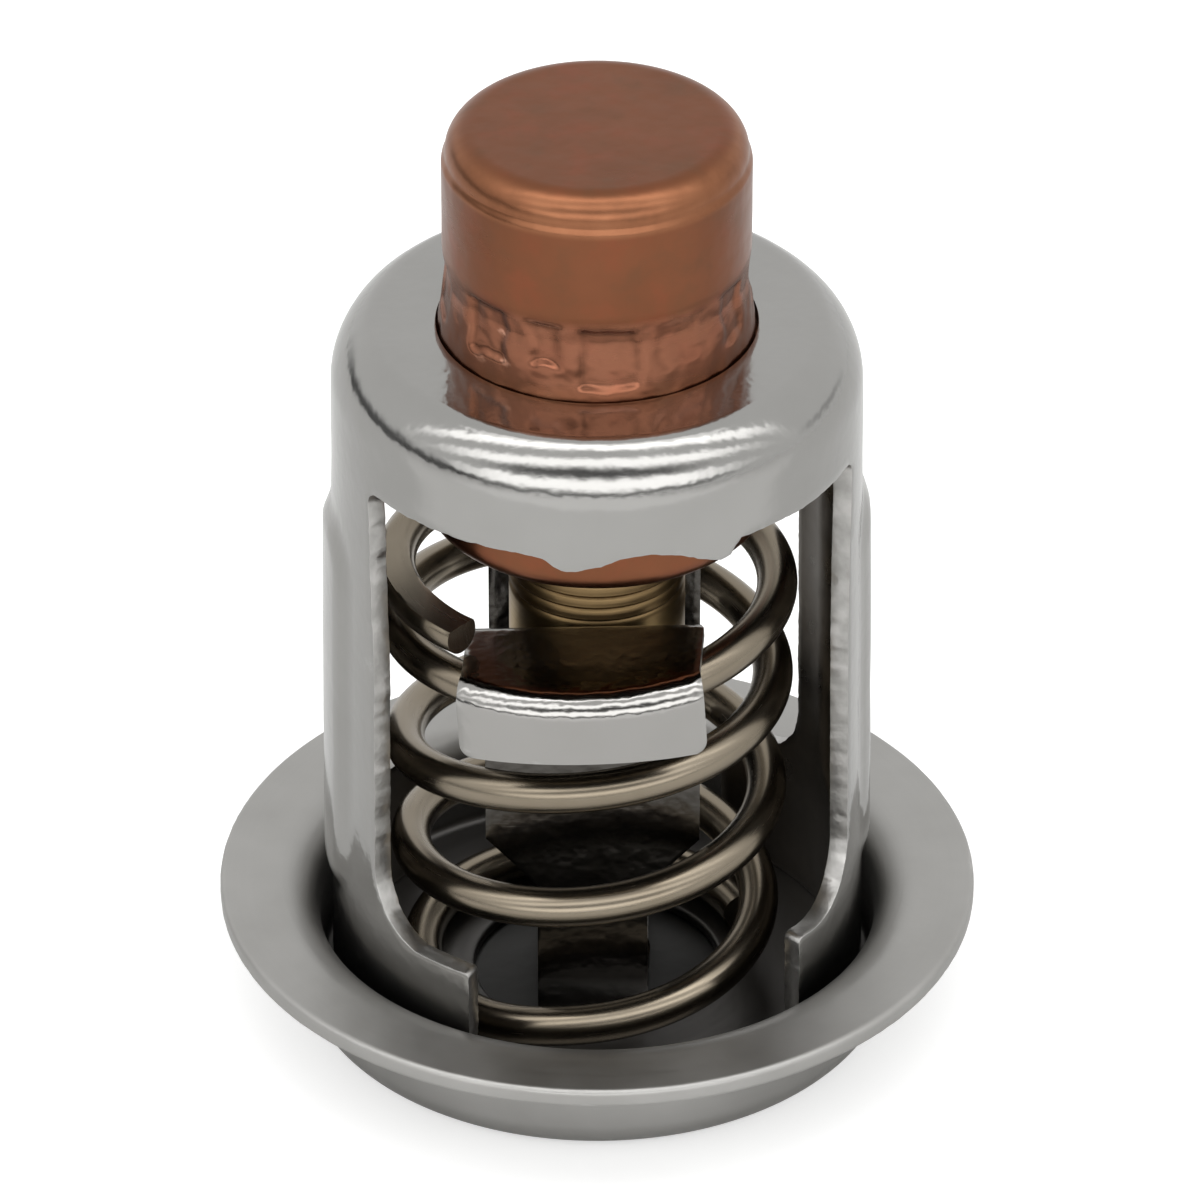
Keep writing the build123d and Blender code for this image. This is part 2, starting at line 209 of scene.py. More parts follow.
# Return spring: share of its height at each turn
spring_wire = 2.0
spring_offset_x = -0.5
spring_foot_radius = 8.38
spring_top_radius = 9.45
spring_foot_z = cup_floor_z + spring_wire / 2
spring_height = 23.5
spring_mean_radius = 9.0
spring_taper_power = 0.65
spring_ground_depth = 0.5
spring_steps = 620
spring_sides = 40
spring_rows = [
    (40, 1.0), (90, 0.987), (150, 0.96), (210, 0.947), (300, 0.928), (330, 0.911), (360, 0.896), (410, 0.877),
    (500, 0.812), (590, 0.734), (719, 0.664), (830, 0.528), (900, 0.481), (1079, 0.366), (1260, 0.209),
    (1439, 0.049), (1510, 0.0), (1690, 0.0),
]

# Fine relief and wear of the finishes, and how far their painted shade fades at its edges
scratch_depth = 0.08
worn_edge_gain = 1.3
worn_edge_share = 0.4
painted_shade_fade = 0.8

# Light tent: level all round, then each panel's lower and upper elevation in degrees, half width
# and level, and how far its edges fade, in degrees and to the sides
tent_level = 0.9
tent_warmth = 0.995
tent_panels = [
    (8.0, 25.0, 0.8, 2.7),
    (29.5, 40.5, 0.6, 0.15),
    (45.5, 59.5, 0.82, 2.7),
    (75.5, 88.0, 0.85, 2.8),
]
panel_edge = 3.0
panel_side_out = 0.2
panel_side_in = 0.25
# Dark fold where the tent meets the table: its middle in degrees, tilt across, level, the distances
# in degrees at which it is full and gone, and how many times wider it is on the left
fold_middle = 1.0
fold_tilt = 2.5
fold_level = 0.12
fold_full = 0.8
fold_gone = 3.6
fold_widening = 3.4
fold_widens = (-35.0, -65.0)
# Stretches of the fold, in degrees from the front: where it is full and gone, and its share there
fold_left_end = (-125.0, -150.0)
fold_left_start = (-52.0, -38.0)
fold_front = (40.0, 70.0, 0.85)
fold_right_middle = 112.0
fold_right = (6.0, 22.0, 0.45)
top_light_place = (0.0, -0.03, 0.8)
top_light_aim = (0.0, 0.0, 0.02)
top_light_size = (0.9, 0.2)
top_light_power = 0.5

# Pale paper under the object, in metres: it glows a little for the camera, and its reflection is
# brighter ahead of the object, in two steps, than it is beside it
paper_half_size = 0.6
paper_gap = 0.00002
paper_tone = (0.66, 0.66, 0.656)
paper_glow = 0.5
paper_mirrored = 0.2
paper_steps = ((0.012, 0.026), (0.085, 0.11))
paper_sides = (0.3, 0.08)

# Viewpoint
camera_place = (0.00015, -0.3699, 0.2566)
camera_looks_down = 33.02
camera_lens = 267.7
camera_sensor = 36.0


# Node helpers

def new_node(tree, kind, **settings):
    # A node with its own settings; its sockets are set afterwards
    made = tree.nodes.new(kind)
    for name, value in settings.items():
        setattr(made, name, value)
    return made


def join(tree, source, target):
    tree.links.new(source, target)


def set_or_link(tree, socket, value):
    # Links a socket or sets its constant; a colour's three parts become an opaque colour
    if isinstance(value, bpy.types.NodeSocket):
        tree.links.new(value, socket)
    elif socket.type == "RGBA":
        socket.default_value = (*value, 1.0)
    else:
        socket.default_value = value


def feed(tree, made, **values):
    # Sets or links a node's inputs by name, underscores standing for spaces
    for name, value in values.items():
        set_or_link(tree, made.inputs[name.replace("_", " ")], value)
    return made


def maths(tree, operation, a, b=0.0, c=0.0):
    made = new_node(tree, "ShaderNodeMath", operation=operation)
    for socket, value in zip(made.inputs, (a, b, c)):
        set_or_link(tree, socket, value)
    return made.outputs[0]


def times(tree, first, *others):
    for value in others:
        first = maths(tree, "MULTIPLY", first, value)
    return first


def spread(tree, value, from_low, from_high, to_low=0.0, to_high=1.0, smooth=False):
    made = new_node(tree, "ShaderNodeMapRange", interpolation_type="SMOOTHSTEP" if smooth else "LINEAR")
    feed(tree, made, Value=value, From_Min=from_low, From_Max=from_high, To_Min=to_low, To_Max=to_high)
    return made.outputs["Result"]


def blend_colour(tree, share, a, b):
    made = new_node(tree, "ShaderNodeMix", data_type="RGBA", blend_type="MIX")
    for socket, value in ((made.inputs[0], share), (made.inputs[6], a), (made.inputs[7], b)):
        set_or_link(tree, socket, value)
    return made.outputs[2]


def mottle(tree, place, scale, detail, roughness=0.5, seed=None):
    # Soft cloudy noise; a seed picks another cut through it
    made = new_node(tree, "ShaderNodeTexNoise", noise_dimensions="3D" if seed is None else "4D")
    feed(tree, made, Vector=place, Scale=scale, Detail=detail, Roughness=roughness)
    if seed is not None:
        feed(tree, made, W=seed)
    return made.outputs["Fac"]


def object_place(tree):
    return new_node(tree, "ShaderNodeTexCoord").outputs["Object"]


def millimetre_place(tree):
    made = new_node(tree, "ShaderNodeVectorMath", operation="SCALE")
    feed(tree, made, Vector=object_place(tree), Scale=1.0 / MM)
    return made.outputs["Vector"]


def group_sockets(tree, inputs, outputs):
    for name, kind, value in inputs:
        made = tree.interface.new_socket(name, in_out="INPUT", socket_type=kind)
        if value is not None:
            made.default_value = value
    for name, kind in outputs:
        tree.interface.new_socket(name, in_out="OUTPUT", socket_type=kind)
    return new_node(tree, "NodeGroupInput"), new_node(tree, "NodeGroupOutput")


def use_group(tree, group, **values):
    made = new_node(tree, "ShaderNodeGroup", node_tree=group)
    return feed(tree, made, **values)


# Shader groups shared by the finishes

def rolled_sheet_group():
    # Orange-peel ripple of drawn sheet metal, fine scratches and soft cloudy patches
    tree = bpy.data.node_groups.new("rolled_sheet", "ShaderNodeTree")
    given, result = group_sockets(
        tree,
        [
            ("Ripple size", "NodeSocketFloat", 1.4),
            ("Ripple amount", "NodeSocketFloat", 1.0),
            ("Scratch amount", "NodeSocketFloat", 1.0),
            ("Seed", "NodeSocketFloat", 0.0),
        ],
        [("Height", "NodeSocketFloat"), ("Clouds", "NodeSocketFloat"), ("Scratches", "NodeSocketFloat")],
    )
    place = millimetre_place(tree)
    seed = given.outputs["Seed"]
    pitch = maths(tree, "DIVIDE", 1.0, given.outputs["Ripple size"])
    ripple = mottle(tree, place, scale=pitch, detail=1.5, roughness=0.45, seed=seed)
    drawn = new_node(tree, "ShaderNodeMapping")
    feed(tree, drawn, Vector=place, Rotation=(0.3, 0.5, 0.4), Scale=(0.35, 6.0, 6.0))
    scratch = mottle(tree, drawn.outputs["Vector"], scale=2.0, detail=3.0, seed=seed)
    lines = times(tree, spread(tree, scratch, 0.6, 0.72), given.outputs["Scratch amount"])
    height = times(tree, ripple, given.outputs["Ripple amount"])
    height = maths(tree, "SUBTRACT", height, times(tree, lines, scratch_depth))
    cloud = mottle(tree, place, scale=0.22, detail=3.0, roughness=0.55, seed=seed)
    join(tree, height, result.inputs["Height"])
    join(tree, spread(tree, cloud, 0.3, 0.7), result.inputs["Clouds"])
    join(tree, lines, result.inputs["Scratches"])
    return tree


def axis_place_group():
    # Distance from the part's axis and height along it, in millimetres
    tree = bpy.data.node_groups.new("axis_place", "ShaderNodeTree")
    _, result = group_sockets(tree, [], [("Radius", "NodeSocketFloat"), ("Height", "NodeSocketFloat")])
    parts = new_node(tree, "ShaderNodeSeparateXYZ")
    feed(tree, parts, Vector=millimetre_place(tree))
    x, y, z = parts.outputs
    across = maths(tree, "ADD", times(tree, x, x), times(tree, y, y))
    join(tree, maths(tree, "SQRT", across), result.inputs["Radius"])
    join(tree, z, result.inputs["Height"])
    return tree


def turning_marks_group():
    # Rings that a lathe tool or a polishing wheel leaves round the axis
    tree = bpy.data.node_groups.new("turning_marks", "ShaderNodeTree")
    given, result = group_sockets(
        tree,
        [("Pitch", "NodeSocketFloat", 0.2), ("Wander", "NodeSocketFloat", 0.3)],
        [("Height", "NodeSocketFloat"), ("Rings", "NodeSocketFloat")],
    )
    drift = mottle(tree, object_place(tree), scale=90.0, detail=1.0)
    spot = use_group(tree, axis_place)
    line = new_node(tree, "ShaderNodeCombineXYZ")
    feed(tree, line, X=maths(tree, "DIVIDE", spot.outputs["Radius"], given.outputs["Pitch"]))
    feed(tree, line, Y=maths(tree, "DIVIDE", spot.outputs["Height"], given.outputs["Pitch"]))
    feed(tree, line, Z=times(tree, drift, given.outputs["Wander"]))
    rings = mottle(tree, line.outputs["Vector"], scale=1.0, detail=2.0, roughness=0.6)
    join(tree, rings, result.inputs["Height"])
    join(tree, spread(tree, rings, 0.35, 0.65), result.inputs["Rings"])
    return tree


def edge_wear_group():
    # Where edges have been rubbed bright, from the surface's own pointiness
    tree = bpy.data.node_groups.new("edge_wear", "ShaderNodeTree")
    given, result = group_sockets(
        tree,
        [
            ("From", "NodeSocketFloat", 0.52),
            ("To", "NodeSocketFloat", 0.6),
            ("Breakup", "NodeSocketFloat", 3.0),
        ],
        [("Mask", "NodeSocketFloat")],
    )
    spots = mottle(tree, millimetre_place(tree), scale=given.outputs["Breakup"], detail=2.0)
    point = new_node(tree, "ShaderNodeNewGeometry").outputs["Pointiness"]
    edge = spread(tree, point, given.outputs["From"], given.outputs["To"])
    mask = times(tree, edge, spread(tree, spots, 0.35, 0.6))
    join(tree, mask, result.inputs["Mask"])
    return tree


rolled_sheet = rolled_sheet_group()
axis_place = axis_place_group()
turning_marks = turning_marks_group()
edge_wear = edge_wear_group()


# Finishes

def new_finish(name, metallic=1.0, roughness=0.3):
    made = bpy.data.materials.new(name)
    made.use_nodes = True
    tree = made.node_tree
    shader = tree.nodes["Principled BSDF"]
    shader.inputs["Metallic"].default_value = metallic
    shader.inputs["Roughness"].default_value = roughness
    return made, tree, shader


def bump(tree, shader, height, distance, under=None):
    # Fine relief of so many millimetres, over another one where there is one
    made = new_node(tree, "ShaderNodeBump")
    feed(tree, made, Height=height, Distance=distance * MM, Strength=1.0)
    if under is not None:
        join(tree, under, made.inputs["Normal"])
    join(tree, made.outputs["Normal"], shader.inputs["Normal"])
    return made.outputs["Normal"]


def sheet_finish(name, pale, deep, rough, ripple_size, ripple_height, scratches, seed, painted_shade=None):
    # Bare drawn sheet: colour clouds between two tones, ripple, scratches and bright edges;
    # painted shade darkens it between two heights inside a radius, where it is duller as well
    made, tree, shader = new_finish(name)
    grain = use_group(
        tree, rolled_sheet, Ripple_size=ripple_size, Ripple_amount=1.0, Scratch_amount=scratches, Seed=seed
    )
    wear = use_group(tree, edge_wear)
    colour = blend_colour(tree, grain.outputs["Clouds"], deep, pale)
    bright = tuple(min(1.0, part * worn_edge_gain) for part in pale)
    colour = blend_colour(tree, times(tree, wear.outputs["Mask"], worn_edge_share), colour, bright)
    dullness = spread(tree, grain.outputs["Clouds"], 0.0, 1.0, *rough)
    # Painted shade: a darker tone between two heights inside a radius
    if painted_shade:
        low, high, reach, tone = painted_shade
        place = use_group(tree, axis_place)
        fade = painted_shade_fade
        inside = spread(tree, place.outputs["Radius"], reach + fade, reach - fade)
        below = spread(tree, place.outputs["Height"], high + fade, high - fade, smooth=True)
        above = spread(tree, place.outputs["Height"], low - 0.5, low + 0.5)
        colour = blend_colour(tree, times(tree, below, above, inside), colour, tone)
        dullness = maths(tree, "MULTIPLY_ADD", inside, 0.1, dullness)
    dullness = maths(tree, "MULTIPLY_ADD", grain.outputs["Scratches"], 0.1, dullness)
    feed(tree, shader, Base_Color=colour, Roughness=dullness)
    bump(tree, shader, grain.outputs["Height"], ripple_height)
    return made


def sheared_finish(name, pale, deep):
    # Cut face of sheet metal: soft drag marks, a few bright nicks
    made, tree, shader = new_finish(name)
    place = millimetre_place(tree)
    grains = mottle(tree, place, scale=0.9, detail=3.0)
    nicks = new_node(tree, "ShaderNodeTexVoronoi")
    feed(tree, nicks, Vector=place, Scale=0.5)
    nick = spread(tree, nicks.outputs["Distance"], 0.0, 0.2, 1.0, 0.0)
    colour = blend_colour(tree, spread(tree, grains, 0.35, 0.65), deep, pale)
    feed(tree, shader, Base_Color=colour, Roughness=spread(tree, grains, 0.3, 0.7, 0.42, 0.3))
    bump(tree, shader, maths(tree, "MULTIPLY_ADD", nick, -0.6, grains), 0.06)
    return made


def satin_finish():
    # Blasted and tumbled steel of the flange, darkened by painted shade inside its cup
    made, tree, shader = new_finish("satin_steel")
    grain = use_group(tree, rolled_sheet, Ripple_size=0.5, Ripple_amount=0.5, Scratch_amount=0.4, Seed=3.0)
    rings = use_group(tree, turning_marks, Pitch=0.5, Wander=0.8)
    wear = use_group(tree, edge_wear, Breakup=1.2)
    spot = use_group(tree, axis_place)
    inside = spread(tree, spot.outputs["Radius"], cup_inside_radius + 0.3, cup_inside_radius - 0.1)
    deep = spread(tree, spot.outputs["Height"], cup_shade_from_z, cup_shade_full_z, smooth=True)
    colour = blend_colour(tree, grain.outputs["Clouds"], (0.375, 0.368, 0.354), (0.425, 0.418, 0.404))
    colour = blend_colour(tree, times(tree, wear.outputs["Mask"], 0.5), colour, (0.55, 0.545, 0.53))
    # Painted shade: darker inside the cup towards its floor
    colour = blend_colour(tree, times(tree, inside, deep), colour, (0.13, 0.125, 0.12))
    dullness = spread(tree, grain.outputs["Clouds"], 0.0, 1.0, 0.34, 0.42)
    dullness = maths(tree, "MULTIPLY_ADD", rings.outputs["Rings"], 0.04, dullness)
    feed(tree, shader, Base_Color=colour, Roughness=dullness)
    fine = bump(tree, shader, rings.outputs["Height"], 0.006)
    bump(tree, shader, grain.outputs["Height"], 0.012, under=fine)
    return made


def copper_finish():
    # Aged copper: brown tarnish in patches, redder where it was handled, rubbed on the crimped edges;
    # brighter on the corner above the die line, partly rubbed and partly painted sheen; painted shade in the
    # hollows of the crimp
    made, tree, shader = new_finish("aged_copper")
    grain = use_group(tree, rolled_sheet, Ripple_size=1.1, Ripple_amount=1.0, Scratch_amount=0.12, Seed=11.0)
    rings = use_group(tree, turning_marks, Pitch=0.9, Wander=1.5)
    wear = use_group(tree, edge_wear, From=0.52, To=0.6, Breakup=1.6)
    blotches = mottle(tree, object_place(tree), scale=420.0, detail=4.0, roughness=0.6)
    height = use_group(tree, axis_place).outputs["Height"]
    pointiness = new_node(tree, "ShaderNodeNewGeometry").outputs["Pointiness"]
    above_cage = spread(tree, height, cage_top_z - 0.5, cage_top_z + 0.5)
    below_crimp_top = spread(tree, height, crimp_band_top_z + 0.3, crimp_band_top_z - 0.2)
    crimped = times(tree, above_cage, below_crimp_top)
    above_die_line = spread(tree, height, die_line_z - 0.5, die_line_z - 0.1, smooth=True)
    below_top = spread(tree, height, capsule_top_z - 0.02, capsule_top_z - 0.35, smooth=True)
    patchy = spread(tree, blotches, 0.3, 0.6, 0.35, 1.0)
    layers = {
        "red": (spread(tree, blotches, 0.52, 0.68, 0.0, 0.5), (0.25, 0.078, 0.04)),
        "olive": (spread(tree, blotches, 0.45, 0.3, 0.0, 0.45), (0.155, 0.078, 0.042)),
        "crimped": (times(tree, crimped, 0.4), (0.36, 0.155, 0.1)),
        "rubbed": (times(tree, wear.outputs["Mask"], crimped), (0.62, 0.32, 0.22)),
        # Brighter copper on the corner above the die line: rubbed in patches, partly painted sheen
        "corner": (times(tree, above_die_line, below_top, patchy), (0.29, 0.122, 0.062)),
        # Painted shade: darker copper in the hollows of the crimp
        "hollow": (times(tree, spread(tree, pointiness, 0.5, 0.47), crimped, 0.6), (0.09, 0.038, 0.022)),
    }
    colour = blend_colour(tree, grain.outputs["Clouds"], (0.185, 0.073, 0.037), (0.222, 0.085, 0.043))
    for share, tone in layers.values():
        colour = blend_colour(tree, share, colour, tone)
    dullness = spread(tree, grain.outputs["Clouds"], 0.0, 1.0, 0.26, 0.32)
    dullness = maths(tree, "MULTIPLY_ADD", rings.outputs["Rings"], 0.04, dullness)
    dullness = maths(tree, "MULTIPLY_ADD", crimped, -0.04, dullness)
    feed(tree, shader, Base_Color=colour, Roughness=dullness)
    bump(tree, shader, grain.outputs["Height"], 0.03)
    return made


def brass_finish():
    # Turned brass, tarnished beside the sealing rings and bare below the last of them
    made, tree, shader = new_finish("turned_brass")
    grain = use_group(tree, rolled_sheet, Ripple_size=0.9, Ripple_amount=0.6, Scratch_amount=0.4, Seed=21.0)
    rings = use_group(tree, turning_marks, Pitch=0.22, Wander=0.3)
    height = use_group(tree, axis_place).outputs["Height"]
    last_ring = guide_ring_heights[-1]
    bare = spread(tree, height, last_ring, last_ring - 1.5)
    colour = blend_colour(tree, grain.outputs["Clouds"], (0.2, 0.135, 0.065), (0.28, 0.19, 0.09))
    colour = blend_colour(tree, times(tree, rings.outputs["Rings"], 0.15), colour, (0.16, 0.11, 0.05))
    colour = blend_colour(tree, bare, colour, (0.42, 0.3, 0.14))
    dullness = spread(tree, rings.outputs["Rings"], 0.0, 1.0, 0.34, 0.42)
    feed(tree, shader, Base_Color=colour, Roughness=dullness)
    fine = bump(tree, shader, rings.outputs["Height"], 0.006)
    bump(tree, shader, grain.outputs["Height"], 0.012, under=fine)
    return made


def spring_finish():
    # Drawn spring wire with a thin brown heat tint and faint die lines along the wire
    made, tree, shader = new_finish("spring_wire")
    grain = use_group(tree, rolled_sheet, Ripple_size=2.2, Ripple_amount=0.7, Scratch_amount=0.2, Seed=31.0)
    along = new_node(tree, "ShaderNodeUVMap", uv_map="wire")
    stretched = new_node(tree, "ShaderNodeMapping")
    feed(tree, stretched, Vector=along.outputs["UV"], Scale=(0.25, 14.0, 1.0))
    lines = mottle(tree, stretched.outputs["Vector"], scale=1.0, detail=2.0)
    colour = blend_colour(tree, grain.outputs["Clouds"], (0.23, 0.194, 0.145), (0.275, 0.236, 0.182))
    colour = blend_colour(tree, spread(tree, lines, 0.5, 0.75, 0.0, 0.25), colour, (0.2, 0.17, 0.13))
    feed(tree, shader, Base_Color=colour, Roughness=spread(tree, lines, 0.3, 0.7, 0.22, 0.28))
    fine = bump(tree, shader, lines, 0.003)
    bump(tree, shader, grain.outputs["Height"], 0.01, under=fine)
    return made


def pin_finish():
    # Ground steel with very fine rings
    made, tree, shader = new_finish("ground_pin")
    marks = use_group(tree, turning_marks, Pitch=0.12, Wander=0.05)
    rings = marks.outputs["Rings"]
    colour = blend_colour(tree, rings, (0.42, 0.41, 0.4), (0.5, 0.49, 0.48))
    feed(tree, shader, Base_Color=colour, Roughness=spread(tree, rings, 0.0, 1.0, 0.14, 0.22))
    bump(tree, shader, marks.outputs["Height"], 0.004)
    return made


def moulded_finish(name, light, dark, roughness, speck_size):
    # Rubber, plastic or wax: two close tones, a fine speck and a soft bump
    made, tree, shader = new_finish(name, metallic=0.0, roughness=roughness)
    speck = mottle(tree, object_place(tree), scale=1.0 / MM / speck_size, detail=4.0, roughness=0.6)
    colour = blend_colour(tree, spread(tree, speck, 0.35, 0.65), dark, light)
    dullness = spread(tree, speck, 0.3, 0.7, roughness + 0.06, roughness - 0.06)
    feed(tree, shader, Base_Color=colour, Roughness=dullness)
    bump(tree, shader, speck, 0.02)
    return made


polished_steel = sheet_finish(
    "polished_steel", pale=(0.378, 0.373, 0.36), deep=(0.355, 0.35, 0.337), rough=(0.1, 0.15),
    ripple_size=0.7, ripple_height=0.022, scratches=0.3, seed=1.0,
)
# Dark finish for the cage's inner side: painted shade
stained_steel = sheet_finish(
    "stained_steel", pale=(0.13, 0.115, 0.098), deep=(0.07, 0.062, 0.052), rough=(0.25, 0.35),
    ripple_size=1.6, ripple_height=0.03, scratches=0.3, seed=2.0,
)
# Painted shade on the carrier's legs and web, between two heights inside a radius
carrier_steel = sheet_finish(
    "carrier_steel", pale=(0.37, 0.362, 0.348), deep=(0.35, 0.342, 0.327), rough=(0.08, 0.12),
    ripple_size=0.7, ripple_height=0.05, scratches=0.3, seed=5.0,
    painted_shade=(-3.5, 16.5, 9.5, (0.1, 0.094, 0.086)),
)
# The valve disc's near-black tone is painted shade where it lies under the seat bore
disc_steel = sheet_finish(
    "disc_steel", pale=(0.06, 0.059, 0.057), deep=(0.042, 0.041, 0.04), rough=(0.3, 0.4),
    ripple_size=0.8, ripple_height=0.02, scratches=0.5, seed=9.0,
)
sheared_steel = sheared_finish("sheared_steel", pale=(0.46, 0.45, 0.435), deep=(0.34, 0.335, 0.32))
satin_steel = satin_finish()
aged_copper = copper_finish()
turned_brass = brass_finish()
spring_steel = spring_finish()
ground_pin = pin_finish()
black_rubber = moulded_finish(
    "black_rubber", light=(0.035, 0.034, 0.033), dark=(0.018, 0.018, 0.018), roughness=0.6, speck_size=0.3
)
hard_plastic = moulded_finish(
    "hard_plastic", light=(0.5, 0.46, 0.4), dark=(0.42, 0.39, 0.34), roughness=0.42, speck_size=0.4
)
wax_fill = moulded_finish(
    "wax_fill", light=(0.58, 0.45, 0.27), dark=(0.45, 0.33, 0.19), roughness=0.5, speck_size=1.2
)


# Object and mesh helpers

def link(name, data):
    piece = bpy.data.objects.new(name, data)
    bpy.context.scene.collection.objects.link(piece)
    return piece


def settle(piece):
    # Turns modifiers into plain mesh
    bpy.context.view_layer.update()
    graph = bpy.context.evaluated_depsgraph_get()
    done = bpy.data.meshes.new_from_object(piece.evaluated_get(graph))
    piece.modifiers.clear()
    old = piece.data
    piece.data = done
    done.name = piece.name
    if isinstance(old, bpy.types.Mesh) and old.users == 0:
        bpy.data.meshes.remove(old)
    return piece


def close_and_face_out(piece, gap=0.002, sharp_angle=38.0):
    # Merges doubled points, turns every face outwards and keeps real edges crisp
    made = bmesh.new()
    made.from_mesh(piece.data)
    bmesh.ops.remove_doubles(made, verts=made.verts, dist=gap * MM)
    bmesh.ops.dissolve_degenerate(made, edges=made.edges, dist=gap * MM * 0.5)
    bmesh.ops.recalc_face_normals(made, faces=made.faces)
    for face in made.faces:
        face.smooth = True
    made.to_mesh(piece.data)
    made.free()
    piece.data.set_sharp_from_angle(angle=math.radians(sharp_angle))
    return piece


def open_sheet(name, points, faces, finishes, pick, outwards):
    # An open sheet with its doubled points merged and all its faces turned so that the picked one
    # looks outwards; its cut edges will take the second finish, its other side the third if it has one
    mesh = bpy.data.meshes.new(name)
    mesh.from_pydata([tuple(p * MM) for p in points], [], faces)
    piece = link(name, mesh)
    for finish in finishes:
        mesh.materials.append(finish)
    made = bmesh.new()
    made.from_mesh(mesh)
    bmesh.ops.remove_doubles(made, verts=made.verts, dist=doubled_points * MM)
    bmesh.ops.recalc_face_normals(made, faces=made.faces)
    chosen = pick(made.faces)
    if chosen.normal.dot(outwards(chosen)) < 0:
        bmesh.ops.reverse_faces(made, faces=made.faces)
    made.to_mesh(mesh)
    made.free()
    return piece


def thicken(piece, sheet, side, edge_width):
    # Gives an open sheet its thickness, outwards (1) or inwards (-1), and softens its cut edges
    thick = piece.modifiers.new("sheet", "SOLIDIFY")
    thick.thickness = sheet * MM
    thick.offset = side
    thick.use_even_offset = True
    thick.material_offset_rim = 1
    thick.material_offset = 2 if len(piece.data.materials) > 2 else 0
    soft = piece.modifiers.new("edges", "BEVEL")
    soft.width = edge_width * MM
    soft.segments = 2
    soft.limit_method = "ANGLE"
    soft.angle_limit = math.radians(soften_from_angle)
    soft.use_clamp_overlap = True
    settle(piece)
    return close_and_face_out(piece, gap=0.0005)


def points_of(piece):
    flat = np.empty(len(piece.data.vertices) * 3)
    piece.data.vertices.foreach_get("co", flat)
    return flat.reshape(-1, 3) / MM


def set_points(piece, points):
    piece.data.vertices.foreach_set("co", (points * MM).ravel())
    piece.data.update()


def smoothstep(value):
    value = np.clip(value, 0.0, 1.0)
    return value * value * (3.0 - 2.0 * value)


# Outline helpers, in radius and height

def arc(centre, radius, start, end, steps=8):
    # Points on an arc; angles in degrees from the radius axis, anticlockwise
    turns = [math.radians(start + (end - start) * i / steps) for i in range(steps + 1)]
    return [(centre[0] + radius * math.cos(a), centre[1] + radius * math.sin(a)) for a in turns]


def run(a, b, pitch):
    # Evenly spaced points from a to b, so that a long straight stretch can take small dents
    count = max(1, round(math.dist(a, b) / pitch))
    return [(a[0] + (b[0] - a[0]) * i / count, a[1] + (b[1] - a[1]) * i / count) for i in range(count + 1)]


# Geometry Nodes trees

def turned_piece_tree():
    # Sweeps an outline, drawn in the XZ plane, once round the Z axis
    tree = bpy.data.node_groups.new("turned_piece", "GeometryNodeTree")
    given, result = group_sockets(
        tree,
        [
            ("Outline", "NodeSocketGeometry", None),
            ("Facets around", "NodeSocketInt", 192),
            ("Arbor radius", "NodeSocketFloat", 0.001),
            ("Finish", "NodeSocketMaterial", None),
        ],
        [("Geometry", "NodeSocketGeometry")],
    )
    place = new_node(tree, "GeometryNodeInputPosition")
    parts = new_node(tree, "ShaderNodeSeparateXYZ")
    feed(tree, parts, Vector=place.outputs["Position"])
    flat = new_node(tree, "ShaderNodeCombineXYZ")
    feed(tree, flat, X=maths(tree, "SUBTRACT", parts.outputs["X"], given.outputs["Arbor radius"]))
    feed(tree, flat, Y=times(tree, parts.outputs["Z"], -1.0))
    laid = new_node(tree, "GeometryNodeSetPosition")
    feed(tree, laid, Geometry=given.outputs["Outline"], Position=flat.outputs["Vector"])
    outline = new_node(tree, "GeometryNodeMeshToCurve")
    feed(tree, outline, Mesh=laid.outputs["Geometry"])
    arbor = new_node(tree, "GeometryNodeCurvePrimitiveCircle", mode="RADIUS")
    feed(tree, arbor, Resolution=given.outputs["Facets around"], Radius=given.outputs["Arbor radius"])
    swept = new_node(tree, "GeometryNodeCurveToMesh")
    feed(tree, swept, Curve=arbor.outputs["Curve"], Profile_Curve=outline.outputs["Curve"])
    merged = new_node(tree, "GeometryNodeMergeByDistance")
    feed(tree, merged, Geometry=swept.outputs["Mesh"], Distance=2e-6)
    real = new_node(tree, "GeometryNodeRealizeInstances")
    feed(tree, real, Geometry=merged.outputs["Geometry"])
    painted = new_node(tree, "GeometryNodeSetMaterial")
    feed(tree, painted, Geometry=real.outputs["Geometry"], Material=given.outputs["Finish"])
    join(tree, painted.outputs["Geometry"], result.inputs["Geometry"])
    return tree


